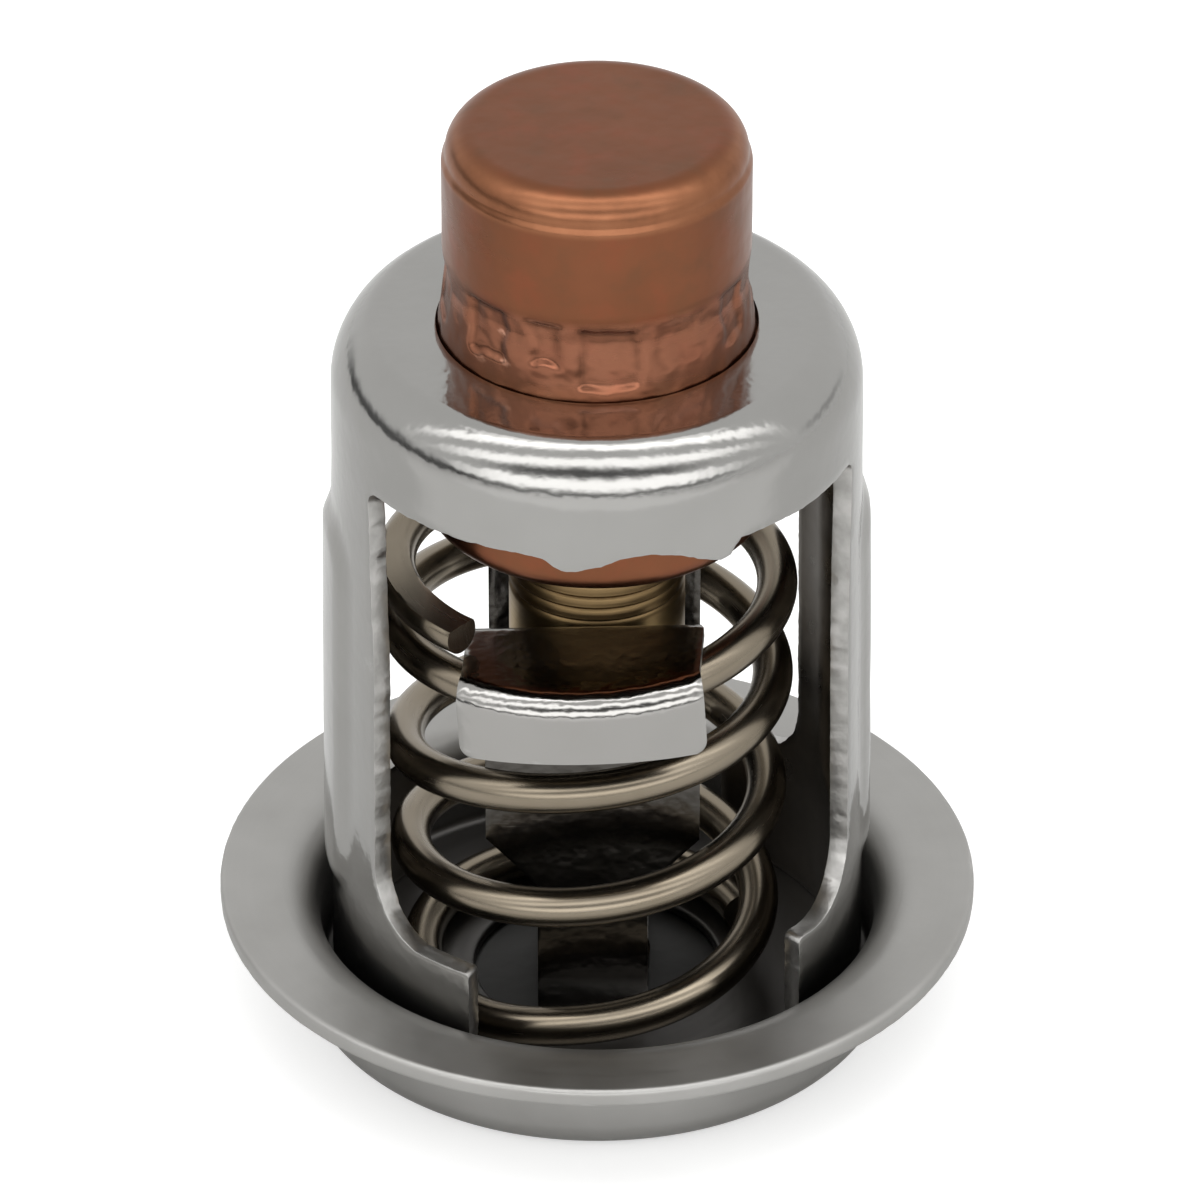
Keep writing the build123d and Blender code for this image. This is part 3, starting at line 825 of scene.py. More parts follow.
def coil_spring_tree():
    # Round wire on a tapered coil; the Float Curve holds the share of the height at each share of the turns
    tree = bpy.data.node_groups.new("coil_spring", "GeometryNodeTree")
    given, result = group_sockets(
        tree,
        [
            ("Geometry", "NodeSocketGeometry", None),
            ("Start turn", "NodeSocketFloat", 0.0),
            ("End turn", "NodeSocketFloat", 6.0),
            ("Foot height", "NodeSocketFloat", 0.0),
            ("Height", "NodeSocketFloat", 0.02),
            ("Foot radius", "NodeSocketFloat", 0.008),
            ("Top radius", "NodeSocketFloat", 0.009),
            ("Taper power", "NodeSocketFloat", 1.0),
            ("Offset across", "NodeSocketFloat", 0.0),
            ("Wire radius", "NodeSocketFloat", 0.001),
            ("Steps", "NodeSocketInt", 400),
            ("Sides", "NodeSocketInt", 24),
            ("Finish", "NodeSocketMaterial", None),
        ],
        [("Geometry", "NodeSocketGeometry"), ("Along", "NodeSocketFloat"), ("Around", "NodeSocketFloat")],
    )
    line = new_node(tree, "GeometryNodeCurvePrimitiveLine")
    steps = new_node(tree, "GeometryNodeResampleCurve")
    feed(tree, steps, Curve=line.outputs["Curve"], Count=given.outputs["Steps"])
    share = new_node(tree, "GeometryNodeSplineParameter").outputs["Factor"]
    first, last = spring_rows[0][0], spring_rows[-1][0]
    pitch_law = new_node(tree, "ShaderNodeFloatCurve")
    law = pitch_law.mapping.curves[0]
    places = [((turn - first) / (last - first), height) for turn, height in spring_rows]
    law.points[0].location = places[0]
    law.points[1].location = places[-1]
    for spot in places[1:-1]:
        law.points.new(*spot)
    for point in law.points:
        point.handle_type = "AUTO_CLAMPED"
    pitch_law.mapping.update()
    feed(tree, pitch_law, Value=share)
    lift = pitch_law.outputs["Value"]
    wound = spread(tree, share, 0.0, 1.0, given.outputs["Start turn"], given.outputs["End turn"])
    taper = maths(tree, "POWER", maths(tree, "MAXIMUM", lift, 0.0), given.outputs["Taper power"])
    growth = maths(tree, "SUBTRACT", given.outputs["Top radius"], given.outputs["Foot radius"])
    radius = maths(tree, "MULTIPLY_ADD", growth, taper, given.outputs["Foot radius"])
    across = times(tree, maths(tree, "SINE", wound), radius)
    spot = new_node(tree, "ShaderNodeCombineXYZ")
    feed(tree, spot, X=maths(tree, "SUBTRACT", given.outputs["Offset across"], across))
    feed(tree, spot, Y=times(tree, maths(tree, "COSINE", wound), radius, -1.0))
    height = maths(tree, "MULTIPLY_ADD", given.outputs["Height"], lift, given.outputs["Foot height"])
    feed(tree, spot, Z=height)
    coiled = new_node(tree, "GeometryNodeSetPosition")
    feed(tree, coiled, Geometry=steps.outputs["Curve"], Position=spot.outputs["Vector"])
    along = new_node(tree, "GeometryNodeCaptureAttribute", domain="POINT")
    along.capture_items.new("FLOAT", "Along")
    feed(tree, along, Geometry=coiled.outputs["Geometry"])
    join(tree, share, along.inputs["Along"])
    ring = new_node(tree, "GeometryNodeCurvePrimitiveCircle", mode="RADIUS")
    feed(tree, ring, Resolution=given.outputs["Sides"], Radius=given.outputs["Wire radius"])
    around = new_node(tree, "GeometryNodeCaptureAttribute", domain="POINT")
    around.capture_items.new("FLOAT", "Around")
    feed(tree, around, Geometry=ring.outputs["Curve"])
    join(tree, new_node(tree, "GeometryNodeSplineParameter").outputs["Factor"], around.inputs["Around"])
    tube = new_node(tree, "GeometryNodeCurveToMesh")
    feed(tree, tube, Curve=along.outputs["Geometry"], Profile_Curve=around.outputs["Geometry"], Fill_Caps=True)
    real = new_node(tree, "GeometryNodeRealizeInstances")
    feed(tree, real, Geometry=tube.outputs["Mesh"])
    painted = new_node(tree, "GeometryNodeSetMaterial")
    feed(tree, painted, Geometry=real.outputs["Geometry"], Material=given.outputs["Finish"])
    join(tree, painted.outputs["Geometry"], result.inputs["Geometry"])
    join(tree, along.outputs["Along"], result.inputs["Along"])
    join(tree, around.outputs["Around"], result.inputs["Around"])
    return tree


turned_piece = turned_piece_tree()
coil_spring = coil_spring_tree()


def run_tree(piece, tree, **values):
    # Adds the tree as a modifier with its inputs set by identifier, then turns the result into mesh
    modifier = piece.modifiers.new(tree.name, "NODES")
    modifier.node_group = tree
    for item in tree.interface.items_tree:
        if item.item_type != "SOCKET":
            continue
        key = item.name.replace(" ", "_")
        if item.in_out == "INPUT" and key in values:
            modifier[item.identifier] = values[key]
        if item.in_out == "OUTPUT" and key in values:
            modifier[item.identifier + "_attribute_name"] = values[key]
    return settle(piece)


def turn(name, outline, finish, facets=192):
    # Turns a closed outline of (radius, height) points into a piece
    edges = [(i, (i + 1) % len(outline)) for i in range(len(outline))]
    mesh = bpy.data.meshes.new(name)
    mesh.from_pydata([(r * MM, 0.0, z * MM) for r, z in outline], edges, [])
    piece = link(name, mesh)
    run_tree(piece, turned_piece, Facets_around=facets, Arbor_radius=MM, Finish=finish)
    return close_and_face_out(piece)


# Pieces

def make_flange():
    wall = cup_inside_radius
    out = wall + flange_sheet
    floor = cup_floor_z
    under = -flange_sheet
    c = cup_corner_radius
    co = c + flange_sheet
    m = mouth_radius
    mo = m - flange_sheet
    e = rim_edge_radius
    s = seat_edge_radius
    recess = stand_z + seat_recess_depth
    outline = []
    outline += arc((seat_bore_radius + s, floor - s), s, 180, 90, 5)
    outline += run((seat_bore_radius + s + corner_gap, floor), (wall - c - corner_gap, floor), 0.5)
    outline += arc((wall - c, floor + c), c, -90, 0, 6)
    outline += run((wall, floor + c + corner_gap), (wall, -m - corner_gap), 0.5)
    outline += arc((wall + m, -m), m, 180, 90, 16)
    outline += run((wall + m + corner_gap, 0.0), (flange_radius - e - corner_gap, 0.0), 0.3)
    outline += arc((flange_radius - e, -e), e, 90, 0, 5)
    outline += arc((flange_radius - e, under + e), e, 0, -90, 5)
    outline += run((flange_radius - e - corner_gap, under), (wall + m + corner_gap, under), 0.3)
    outline += arc((wall + m, under - mo), mo, 90, 180, 10)
    outline += run((out, -m - corner_gap), (out, floor + c + corner_gap), 0.5)
    outline += arc((wall - c, floor + c), co, 0, -90, 10)
    outline += run((wall - c - corner_gap, stand_z), (seat_recess_radius + corner_gap, stand_z), 0.6)
    lead = 0.08
    outline += arc((seat_recess_radius + lead, stand_z + lead), lead, -90, -180, 3)
    outline += [(seat_recess_radius, recess - 0.05), (seat_recess_radius - 0.05, recess)]
    outline += [(seat_bore_radius + 0.05, recess), (seat_bore_radius, recess + 0.05)]
    piece = turn("flange_sheet", outline, satin_steel, facets=256)
    # A pressed rim is never quite true: soft dings along its outer edge and a slow wave in its face
    points = points_of(piece)
    for i, (x, y, z) in enumerate(points):
        radius = math.hypot(x, y)
        if radius < wall + m:
            continue
        share = (radius - wall - m) / (flange_radius - wall - m)
        wave = noise.noise(Vector((x * 0.12, y * 0.12, 0.3))) * rim_wave
        ding = noise.noise(Vector((x * 1.3, y * 1.3, z * 2.0))) * rim_dings * smoothstep((share - 0.8) / 0.2)
        points[i, 0] -= abs(ding) * x / radius
        points[i, 1] -= abs(ding) * y / radius
        points[i, 2] = z + wave * share - (rim_fall if z > -flange_sheet / 2 else 0.0) * share
    set_points(piece, points)
    return piece


def cage_profile():
    # Outer face of the drawn cup as lengths, radii and heights from the hole's edge: a gently falling
    # top, a tight shoulder, a wider bend and the wall
    a = math.radians(cage_shoulder_angle)
    b = math.radians(cage_foot_bend_angle)
    wider = cage_foot_bend_radius - cage_bend_radius
    foot = (cage_band_radius - cage_foot_bend_radius, cage_band_z - wider * math.sin(b))
    middle = (foot[0] + wider * math.cos(b), cage_band_z)
    reach = cage_bend_radius - cage_shoulder_radius
    shoulder = (middle[0] + reach * math.cos(a), middle[1] + reach * math.sin(a))
    spots = [(cage_hole_radius, cage_hole_z)]
    spots += arc(shoulder, cage_shoulder_radius, cage_top_fall_angle, cage_shoulder_angle, 8)
    spots += arc(middle, cage_bend_radius, cage_shoulder_angle, cage_foot_bend_angle, 14)[1:]
    spots += arc(foot, cage_foot_bend_radius, cage_foot_bend_angle, 0.0, 16)[1:]
    spots += [(cage_floor_radius, cup_floor_z)]
    spots = np.array(spots)
    lengths = np.concatenate([[0.0], np.cumsum(np.hypot(*np.diff(spots, axis=0).T))])
    return lengths, spots[:, 0], spots[:, 1]


def height_to_length(z):
    lengths, _, heights = cage_profile()
    return float(np.interp(-z, -heights, lengths))


def panel_share(turn_degrees, z):
    # 1 on the raised field in the middle of a leg, falling to 0 over its shoulder
    share = np.zeros_like(z)
    for middle in (cage_turn - 90.0, cage_turn + 90.0):
        off = (turn_degrees - middle + 180.0) % 360.0 - 180.0
        across = np.abs(off) * math.pi / 180.0 * panel_radius
        half_width = panel_half_angle * math.pi / 180.0 * panel_radius
        centre = (panel_top_z + panel_bottom_z) / 2
        half_height = (panel_top_z - panel_bottom_z) / 2
        dx = across - (half_width - panel_corner)
        dz = np.abs(z - centre) - (half_height - panel_corner)
        outside = np.hypot(np.maximum(dx, 0.0), np.maximum(dz, 0.0)) + np.minimum(np.maximum(dx, dz), 0.0)
        distance = panel_corner - outside
        share = np.maximum(share, smoothstep((distance + panel_shoulder / 2) / panel_shoulder))
    return share


def place_on_cage(flat_points):
    # Sheet coordinates (turn as length on the band radius, length down the profile) to space
    turns = flat_points[:, 0] / cage_band_radius
    length = flat_points[:, 1]
    lengths, radii, heights = cage_profile()
    radius = np.interp(length, lengths, radii)
    height = np.interp(length, lengths, heights)
    radius += panel_raise * panel_share(np.degrees(turns), height)
    # Slight waviness of a drawn shell
    for i in range(len(radius)):
        t = turns[i]
        wobble = noise.noise(Vector((math.sin(t) * 2.2, math.cos(t) * 2.2, length[i] * 0.3)))
        radius[i] += shell_wobble_out * wobble
        height[i] += shell_wobble_down * wobble
    return np.column_stack([radius * np.sin(turns), -radius * np.cos(turns), height])


def rounded(points, radii, pitch=cage_edge_pitch):
    # Open polyline with its corners rounded and its runs divided evenly
    path = [points[0]]
    for before, corner, after, radius in zip(points, points[1:], points[2:], radii):
        a = np.array(before) - corner
        b = np.array(after) - corner
        a = a / np.linalg.norm(a)
        b = b / np.linalg.norm(b)
        half = math.acos(np.clip(np.dot(a, b), -1, 1)) / 2
        reach = radius / math.tan(half)
        centre = np.array(corner) + (a + b) / np.linalg.norm(a + b) * radius / math.sin(half)
        start = np.array(corner) + a * reach - centre
        end = np.array(corner) + b * reach - centre
        sweep = math.atan2(start[0] * end[1] - start[1] * end[0], np.dot(start, end))
        steps = max(3, round(abs(sweep) * radius / pitch))
        for i in range(steps + 1):
            a = sweep * i / steps
            cosine, sine = math.cos(a), math.sin(a)
            turned = (start[0] * cosine - start[1] * sine, start[0] * sine + start[1] * cosine)
            path.append((centre[0] + turned[0], centre[1] + turned[1]))
    path.append(points[-1])
    fine = []
    for a, b in zip(path, path[1:]):
        fine += run(a, b, pitch)[:-1]
    return fine + [path[-1]]


def sheet_spot(turn_degrees, z):
    return (math.radians(turn_degrees) * cage_band_radius, height_to_length(z))


def leg_edge(side_turn, foot_turn, foot_z, from_top):
    # Edge of one leg beside a window: band, side, foot shoulder, foot end, floor
    out = 1.0 if side_turn > foot_turn else -1.0
    top_turn = side_turn + out * window_lean
    spots = [
        sheet_spot(top_turn - out * window_corner_run, window_top_z),
        sheet_spot(top_turn, window_top_z),
        sheet_spot(side_turn, window_lean_from_z),
        sheet_spot(side_turn, foot_z),
        sheet_spot(foot_turn, foot_z),
        sheet_spot(foot_turn, cup_floor_z),
    ]
    path = rounded(spots, [window_top_corner, window_lean_bend, foot_corner, foot_end_corner])
    return path if from_top else path[::-1]


def band_edge(start_turn, end_turn):
    # Lower edge of the band over a window, with its torn strip where one lies in between
    spots = [(start_turn, window_top_z), (end_turn, window_top_z)]
    torn = [(math.degrees(math.asin(x / cage_band_radius)), z) for x, z in torn_edge]
    low, high = min(start_turn, end_turn), max(start_turn, end_turn)
    if low < torn[0][0] and torn[-1][0] < high:
        inner = torn if start_turn < end_turn else torn[::-1]
        spots = [spots[0]] + inner + [spots[1]]
    spots = [sheet_spot(*spot) for spot in spots]
    fine = []
    for a, b in zip(spots, spots[1:]):
        fine += run(a, b, cage_edge_pitch)[:-1]
    return fine + [spots[-1]]


def cage_outline():
    # Once round the flattened sheet: hole edge, rear seam, both legs, rear seam
    w = window_half_angle
    front, rear = cage_turn, cage_turn + 180.0
    seam = math.pi * cage_band_radius
    bottom = height_to_length(window_top_z)
    step = window_corner_run - window_lean
    right_rear = leg_edge(rear - w, rear - rear_foot, rear_foot_z, True)
    right_front = leg_edge(front + w, front + front_foot_right, front_foot_z, False)
    left_front = leg_edge(front - w, front - front_foot_left, front_foot_z, True)
    left_rear = leg_edge(rear - 360.0 + w, rear - 360.0 + rear_foot, rear_foot_z, False)
    outline = run((-seam, 0.0), (seam, 0.0), cage_hole_pitch)[:-1]
    outline += run((seam, 0.0), (seam, bottom), cage_hole_pitch)[:-1]
    outline += band_edge(180.0, rear - w + step)[:-1]
    outline += right_rear[:-1]
    outline += run(right_rear[-1], right_front[0], cage_edge_pitch)[:-1]
    outline += right_front[:-1]
    outline += band_edge(front + w - step, front - w + step)[:-1]
    outline += left_front[:-1]
    outline += run(left_front[-1], left_rear[0], cage_edge_pitch)[:-1]
    outline += left_rear[:-1]
    outline += band_edge(rear - 360.0 + w - step, -180.0)[:-1]
    outline += run((-seam, bottom), (-seam, 0.0), cage_hole_pitch)[:-1]
    return np.array(outline)


def roughen(outline):
    # A sheared edge wanders a little and has small chips; the hole, floor and seam edges stay true
    seam = math.pi * cage_band_radius
    after = np.roll(outline, -1, axis=0) - np.roll(outline, 1, axis=0)
    normal = np.column_stack([-after[:, 1], after[:, 0]])
    normal /= np.maximum(np.linalg.norm(normal, axis=1, keepdims=True), 1e-9)
    for i, (x, s) in enumerate(outline):
        if s < 1.0 or abs(abs(x) - seam) < 0.3 or s > height_to_length(cup_floor_z) - 0.3:
            continue
        slow = noise.noise(Vector((x * 0.9, s * 0.9, 4.0))) * cut_wander
        chip = noise.noise(Vector((x * 3.1, s * 3.1, 9.0)))
        outline[i] += normal[i] * (slow + cut_chips * chip)
    return outline


def make_cage():
    outline = roughen(cage_outline())
    seam = math.pi * cage_band_radius
    bottom = height_to_length(cup_floor_z)
    columns = round(2 * seam / cage_pitch_around)
    rows = round(bottom / cage_pitch_down)
    xs = -seam + (np.arange(1, columns)) * 2 * seam / columns
    ys = np.arange(1, rows) * bottom / rows
    grid = np.array([(x, y) for y in ys for x in xs])
    near = np.full(len(grid), np.inf)
    for chunk in range(0, len(outline), 200):
        part = outline[chunk:chunk + 200]
        gaps = np.hypot(grid[:, None, 0] - part[None, :, 0], grid[:, None, 1] - part[None, :, 1])
        near = np.minimum(near, gaps.min(axis=1))
    grid = grid[near > cage_pitch_clear]
    count = len(outline)
    spots = [Vector(p) for p in outline] + [Vector(p) for p in grid]
    edges = [(i, (i + 1) % count) for i in range(count)]
    verts, _, faces, _, _, _ = delaunay_2d_cdt(spots, edges, [list(range(count))], 1, 1e-5)
    points = place_on_cage(np.array([tuple(v) for v in verts]))
    # The sheet's faces look away from the axis, so that its thickness goes inwards
    # Its inner side takes the finish darkened as painted shade
    piece = open_sheet(
        "cage_shell", points, [tuple(f) for f in faces], (polished_steel, sheared_steel, stained_steel),
        pick=lambda faces: max(faces, key=lambda face: face.calc_center_median().xy.length),
        outwards=lambda face: Vector((*face.calc_center_median().xy, 0.0)),
    )
    return thicken(piece, cage_sheet, side=-1.0, edge_width=0.09)


def make_capsule():
    t = capsule_sheet
    r = capsule_radius
    rb = crimp_band_radius
    top = capsule_top_z
    c = capsule_top_corner
    step = cage_hole_z - cage_sheet
    rs = skirt_radius
    low = skirt_bottom_z
    k = skirt_corner
    band = crimp_band_top_z
    ci = c - t
    ki = k - t
    outline = [(0.0, top)]
    upper = r - die_line_step
    outline += run((0.4, top), (upper - c - corner_gap, top), 0.4)
    outline += arc((upper - c, top - c), c, 90, 0, 14)
    # The step that the draw ring leaves below the corner
    half_count = 6
    for i in range(-half_count, half_count + 1):
        share = float(smoothstep(0.5 - i / (2.0 * half_count)))
        z = die_line_z - die_line_half_height * i / half_count
        outline.append((upper + die_line_step * (1.0 - share), z))
    outline += run((r, die_line_z - die_line_half_height - 0.2), (r, band + 0.6), 0.3)
    outline += run((r, band + 0.5), (rb, band - 0.9), 0.15)
    outline += run((rb, band - 1.0), (crimp_foot_radius, crimp_foot_z), 0.12)
    outline += run((crimp_foot_radius, crimp_foot_z - 0.1), (crimp_foot_radius, step), 0.12)
    outline += run((rs - 0.3, step), (rs - 0.12, step), 0.2)
    outline += [(rs - 0.04, step - 0.04)]
    outline += run((rs, step - 0.12), (rs, low + k + 0.05), 0.5)
    outline += arc((rs - k, low + k), k, 0, -90, 10)
    outline += run((rs - k - corner_gap, low), (skirt_curl_radius + 0.1, low), 0.4)
    outline += arc((skirt_curl_radius + 0.1, low + t / 2), t / 2, -90, -270, 6)
    outline += arc((rs - k, low + k), ki, -90, 0, 6)
    outline += [(rs - t, step - t), (rb - t, step - t), (rb - t, band - 0.3), (r - t, band + 0.3)]
    outline += arc((upper - c, top - c), ci, 0, 90, 8)
    outline += [(0.0, top - t)]
    piece = turn("copper_capsule", outline, aged_copper, facets=288)
    points = points_of(piece)
    radius = np.hypot(points[:, 0], points[:, 1])
    turns = np.degrees(np.arctan2(points[:, 0], -points[:, 1]))
    z = points[:, 2]
    outer = radius > rb - 0.15
    push = np.zeros(len(points))
    wander_across = np.array([noise.noise(Vector((x * 0.9, y * 0.9, h * 0.9))) for x, y, h in points])
    wander_up = np.array([noise.noise(Vector((x, y, h + 20.0))) for x, y, h in points])
    for middle, height, width, tall, depth in crimp_dents:
        off = (turns - middle + 180.0) % 360.0 - 180.0
        across = np.abs(off * math.pi / 180.0 * rb + dent_wander_across * wander_across)
        up = np.abs(z - height + dent_wander_up * wander_up)
        inside_x = smoothstep((width / 2 - across) / dent_edge + 0.5)
        inside_z = smoothstep((tall / 2 - up) / dent_edge + 0.5)
        push = np.maximum(push, depth * inside_x * inside_z)
    in_band = smoothstep((band + 0.1 - z) / 0.3) * smoothstep((z - step + 0.2) / 0.4) * outer
    for i in np.nonzero(outer & (z > step - 0.3))[0]:
        x, y, h = points[i]
        crease = noise.noise(Vector((x * 1.1, y * 1.1, h * 0.7)))
        fine = noise.noise(Vector((x * 3.0, y * 3.0, h * 3.0)))
        push[i] = (push[i] + crimp_creases * crease + crimp_grain * fine) * in_band[i] + capsule_wave * crease
    scale = 1.0 - push / np.maximum(radius, 1.0)
    points[:, 0] *= scale
    points[:, 1] *= scale
    set_points(piece, points)
    return piece


def make_guide():
    r_flange = skirt_radius - capsule_sheet
    k = skirt_corner - capsule_sheet
    low = skirt_bottom_z + capsule_sheet
    high = cage_top_z - cage_sheet - capsule_sheet - diaphragm_thickness
    bore = piston_radius + piston_running_gap
    ch = guide_lead_chamfer
    outline = [(bore, high), (r_flange, high)]
    outline += run((r_flange, high - 0.1), (r_flange, low + k), 1.0)
    outline += arc((r_flange - k, low + k), k, 0, -90, 6)
    outline += [(guide_radius + 0.1, low), (guide_radius, low - 0.1)]
    for z in guide_ring_heights:
        # A slight burr over the ring, then its hollow, in shares of its depth and its width
        for out, up in ((0.0, 1.0), (0.2, 0.6), (-0.7, 0.15), (-1.0, 0.0), (-0.7, -0.15), (0.0, -0.5)):
            outline.append((guide_radius + guide_ring_depth * out, z + guide_ring_width * up))
    outline += run((guide_radius, guide_ring_heights[-1] - 0.4), (guide_radius, guide_bottom_z + ch), 0.6)
    lead = 0.2
    outline += [(guide_radius - ch, guide_bottom_z), (bore + lead, guide_bottom_z)]
    outline += [(bore, guide_bottom_z + lead)]
    return turn("brass_guide", outline, turned_brass, facets=160)


def make_piston():
    low = valve_top_z + strap + rivet_boss_height
    e = piston_tip_radius
    outline = [(0.0, piston_top_z)]
    outline += arc((piston_radius - e, piston_top_z - e), e, 90, 0, 5)
    outline += run((piston_radius, piston_top_z - e - 0.2), (piston_radius, low + e + 0.2), 2.0)
    outline += arc((piston_radius - e, low + e), e, 0, -90, 5)
    outline += [(0.0, low)]
    return turn("piston_pin", outline, ground_pin, facets=96)


def make_valve_disc():
    e = valve_edge_radius
    top = valve_top_z
    low = top - valve_thickness
    bore = rivet_shank_radius
    outline = run((bore, top), (valve_radius - e, top), 0.8)
    outline += arc((valve_radius - e, top - e), e, 80, 0, 3)
    outline += arc((valve_radius - e, low + e), e, 0, -90, 3)
    outline += run((valve_radius - e - 0.2, low), (bore, low), 0.8)
    return turn("valve_plate", outline, disc_steel, facets=192)


def leg_rows(under):
    # Outer face of one half of the strap from the web's middle to the top of the leg's bend.
    # Each row: distance from the axis, height, half width, share of the ear's twist
    outer_y = leg_inner_y + strap
    low = valve_top_z
    b = strap_bend + strap
    bend = strap_bend
    rows = [(y, low, neck_half_width, 0.0) for y in np.linspace(0.0, outer_y - b, 6)]
    for t in np.linspace(0.0, math.pi / 2, 9)[1:]:
        rows.append((outer_y - b + b * math.sin(t), low + b - b * math.cos(t), neck_half_width, 0.0))
    for z in np.linspace(low + b, leg_taper_bottom_z, 12)[1:]:
        rows.append((outer_y, z, neck_half_width, 0.0))
    for share in np.linspace(0.0, 1.0, 8)[1:]:
        z = leg_taper_bottom_z + (leg_taper_top_z - leg_taper_bottom_z) * share
        rows.append((outer_y, z, neck_half_width + (leg_half_width - neck_half_width) * share, 0.0))
    for z in np.linspace(leg_taper_top_z, under - bend, 24)[1:]:
        twist = float(smoothstep((z - under + twist_length) / (twist_length - bend)))
        rows.append((outer_y, z, leg_half_width, twist))
    for t in np.linspace(0.0, math.pi / 2, 9)[1:]:
        width = leg_half_width + (ear_half_width - leg_half_width) * t / (math.pi / 2)
        rows.append((outer_y + bend - bend * math.cos(t), under - bend + bend * math.sin(t), width, 1.0))
    return rows


def ear_rows(start_y, under, across):
    # Under face of the ear and inner face of its lip: lists of (x, distance from the axis, height)
    f = lip_fold_radius
    radius = lip_inside_radius
    w = ear_half_width
    grid = []

    def row(width, place):
        grid.append([place(width * (2.0 * i / across - 1.0)) for i in range(across + 1)])

    for share in np.linspace(0.0, 1.0, 22)[1:]:
        row(w, lambda x: (x, start_y + (math.sqrt((radius - f) ** 2 - x * x) - start_y) * share, under))
    for t in np.linspace(0.0, math.pi / 2, 14)[1:]:
        reach = radius - f + f * math.sin(t)
        row(w, lambda x: (x, math.sqrt(reach**2 - x * x), under - f + f * math.cos(t)))
    length = lip_length - f
    straight = length - lip_corner
    drops = [(w, d) for d in np.linspace(0.0, straight, 9)[1:]]
    for t in np.linspace(0.0, math.pi / 2, 8)[1:]:
        drops.append((w - lip_corner * (1.0 - math.cos(t)), straight + lip_corner * math.sin(t)))
    for width, drop in drops:
        row(
            width,
            lambda x: (
                x,
                math.sqrt(radius**2 - x * x),
                under - f - drop * (1.0 + lip_end_drop / length * (x / w) ** 2),
            ),
        )
    return grid


def twisted(x, y, z, under, share):
    # Front ear: canted and turned against the leg, the change spread over the top of the leg
    cant = math.radians(ear_cant) * share
    above = z - under
    z = under + above * math.cos(cant) + x * math.sin(cant)
    x = x * math.cos(cant) - above * math.sin(cant)
    turn_by = math.radians(front_ear_turn - carrier_turn) * share
    return x * math.cos(turn_by) + y * math.sin(turn_by), y * math.cos(turn_by) - x * math.sin(turn_by), z


def make_carrier():
    # One structured strip over web, legs, ears and lips, given its thickness afterwards
    across = strap_columns
    points = []
    faces = []
    for side, under in ((1, ear_front_under_z), (-1, ear_rear_under_z)):
        grid = []
        for y, z, width, twist in leg_rows(under):
            spots = [(width * (2.0 * i / across - 1.0), y, z) for i in range(across + 1)]
            grid.append([twisted(*spot, under, twist) if side > 0 else spot for spot in spots])
        start_y = leg_inner_y + strap + strap_bend
        for spots in ear_rows(start_y, under, across):
            grid.append([twisted(*spot, under, 1.0) if side > 0 else spot for spot in spots])
        base = len(points)
        points += [(x * side, -y * side, z) for spots in grid for x, y, z in spots]
        for r in range(len(grid) - 1):
            for i in range(across):
                a = base + r * (across + 1) + i
                faces.append((a, a + 1, a + across + 2, a + across + 1))
    points = np.array(points)
    t = math.radians(carrier_turn)
    turned = points.copy()
    turned[:, 0] = points[:, 0] * math.cos(t) - points[:, 1] * math.sin(t) + carrier_offset_x
    turned[:, 1] = points[:, 0] * math.sin(t) + points[:, 1] * math.cos(t)
    # The drawn face is the strap's lower or inner one under the ears; thickness goes up and outwards
    piece = open_sheet(
        "carrier_strap", turned, faces, (carrier_steel, sheared_steel),
        pick=lambda faces: min(faces, key=lambda face: face.calc_center_median().z),
        outwards=lambda face: Vector((0.0, 0.0, 1.0)),
    )
    return thicken(piece, strap, side=1.0, edge_width=0.06)


def make_spring():
    mesh = bpy.data.meshes.new("return_coil")
    piece = link("return_coil", mesh)
    run_tree(
        piece, coil_spring,
        Start_turn=math.radians(spring_rows[0][0]), End_turn=math.radians(spring_rows[-1][0]),
        Foot_height=spring_foot_z * MM, Height=spring_height * MM,
        Foot_radius=spring_foot_radius * MM, Top_radius=spring_top_radius * MM,
        Taper_power=spring_taper_power, Offset_across=spring_offset_x * MM,
        Wire_radius=spring_wire / 2 * MM, Steps=spring_steps, Sides=spring_sides, Finish=spring_steel,
        Along="along", Around="around",
    )
    made = piece.data
    along = np.empty(len(made.vertices))
    around = np.empty(len(made.vertices))
    made.attributes["along"].data.foreach_get("value", along)
    made.attributes["around"].data.foreach_get("value", around)
    layer = made.uv_layers.new(name="wire")
    wire_length = (spring_rows[-1][0] - spring_rows[0][0]) / 360.0 * 2 * math.pi * spring_mean_radius
    for loop in made.loops:
        v = around[loop.vertex_index]
        layer.data[loop.index].uv = (along[loop.vertex_index] * wire_length, abs(v * 2.0 - 1.0))
    # The top end is ground flat
    points = points_of(piece)
    ground_z = spring_foot_z + spring_height + spring_wire / 2 - spring_ground_depth
    points[:, 2] = np.minimum(points[:, 2], ground_z)
    set_points(piece, points)
    return close_and_face_out(piece, gap=0.0005, sharp_angle=30.0)


def finish_piece(piece, node, body):
    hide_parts(node)
    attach(piece, body)
    return piece


finish_piece(make_flange(), "seat_flange", "housing")
finish_piece(make_cage(), "cage", "housing")
finish_piece(make_capsule(), "capsule_cup", "housing")
finish_piece(make_guide(), "piston_guide", "housing")
finish_piece(make_piston(), "piston", "valve")
finish_piece(make_valve_disc(), "valve_disc", "valve")
finish_piece(make_carrier(), "valve_carrier", "valve")

spring = finish_piece(make_spring(), "return_spring", "housing")
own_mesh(spring)

for node, finish in (
    ("wax_charge", wax_fill), ("diaphragm", black_rubber), ("rubber_plug", black_rubber),
    ("sliding_disc", hard_plastic), ("rivet", ground_pin),
):
    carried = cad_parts[node]
    carried.data.materials.clear()
    carried.data.materials.append(finish)


# Stage, light and camera

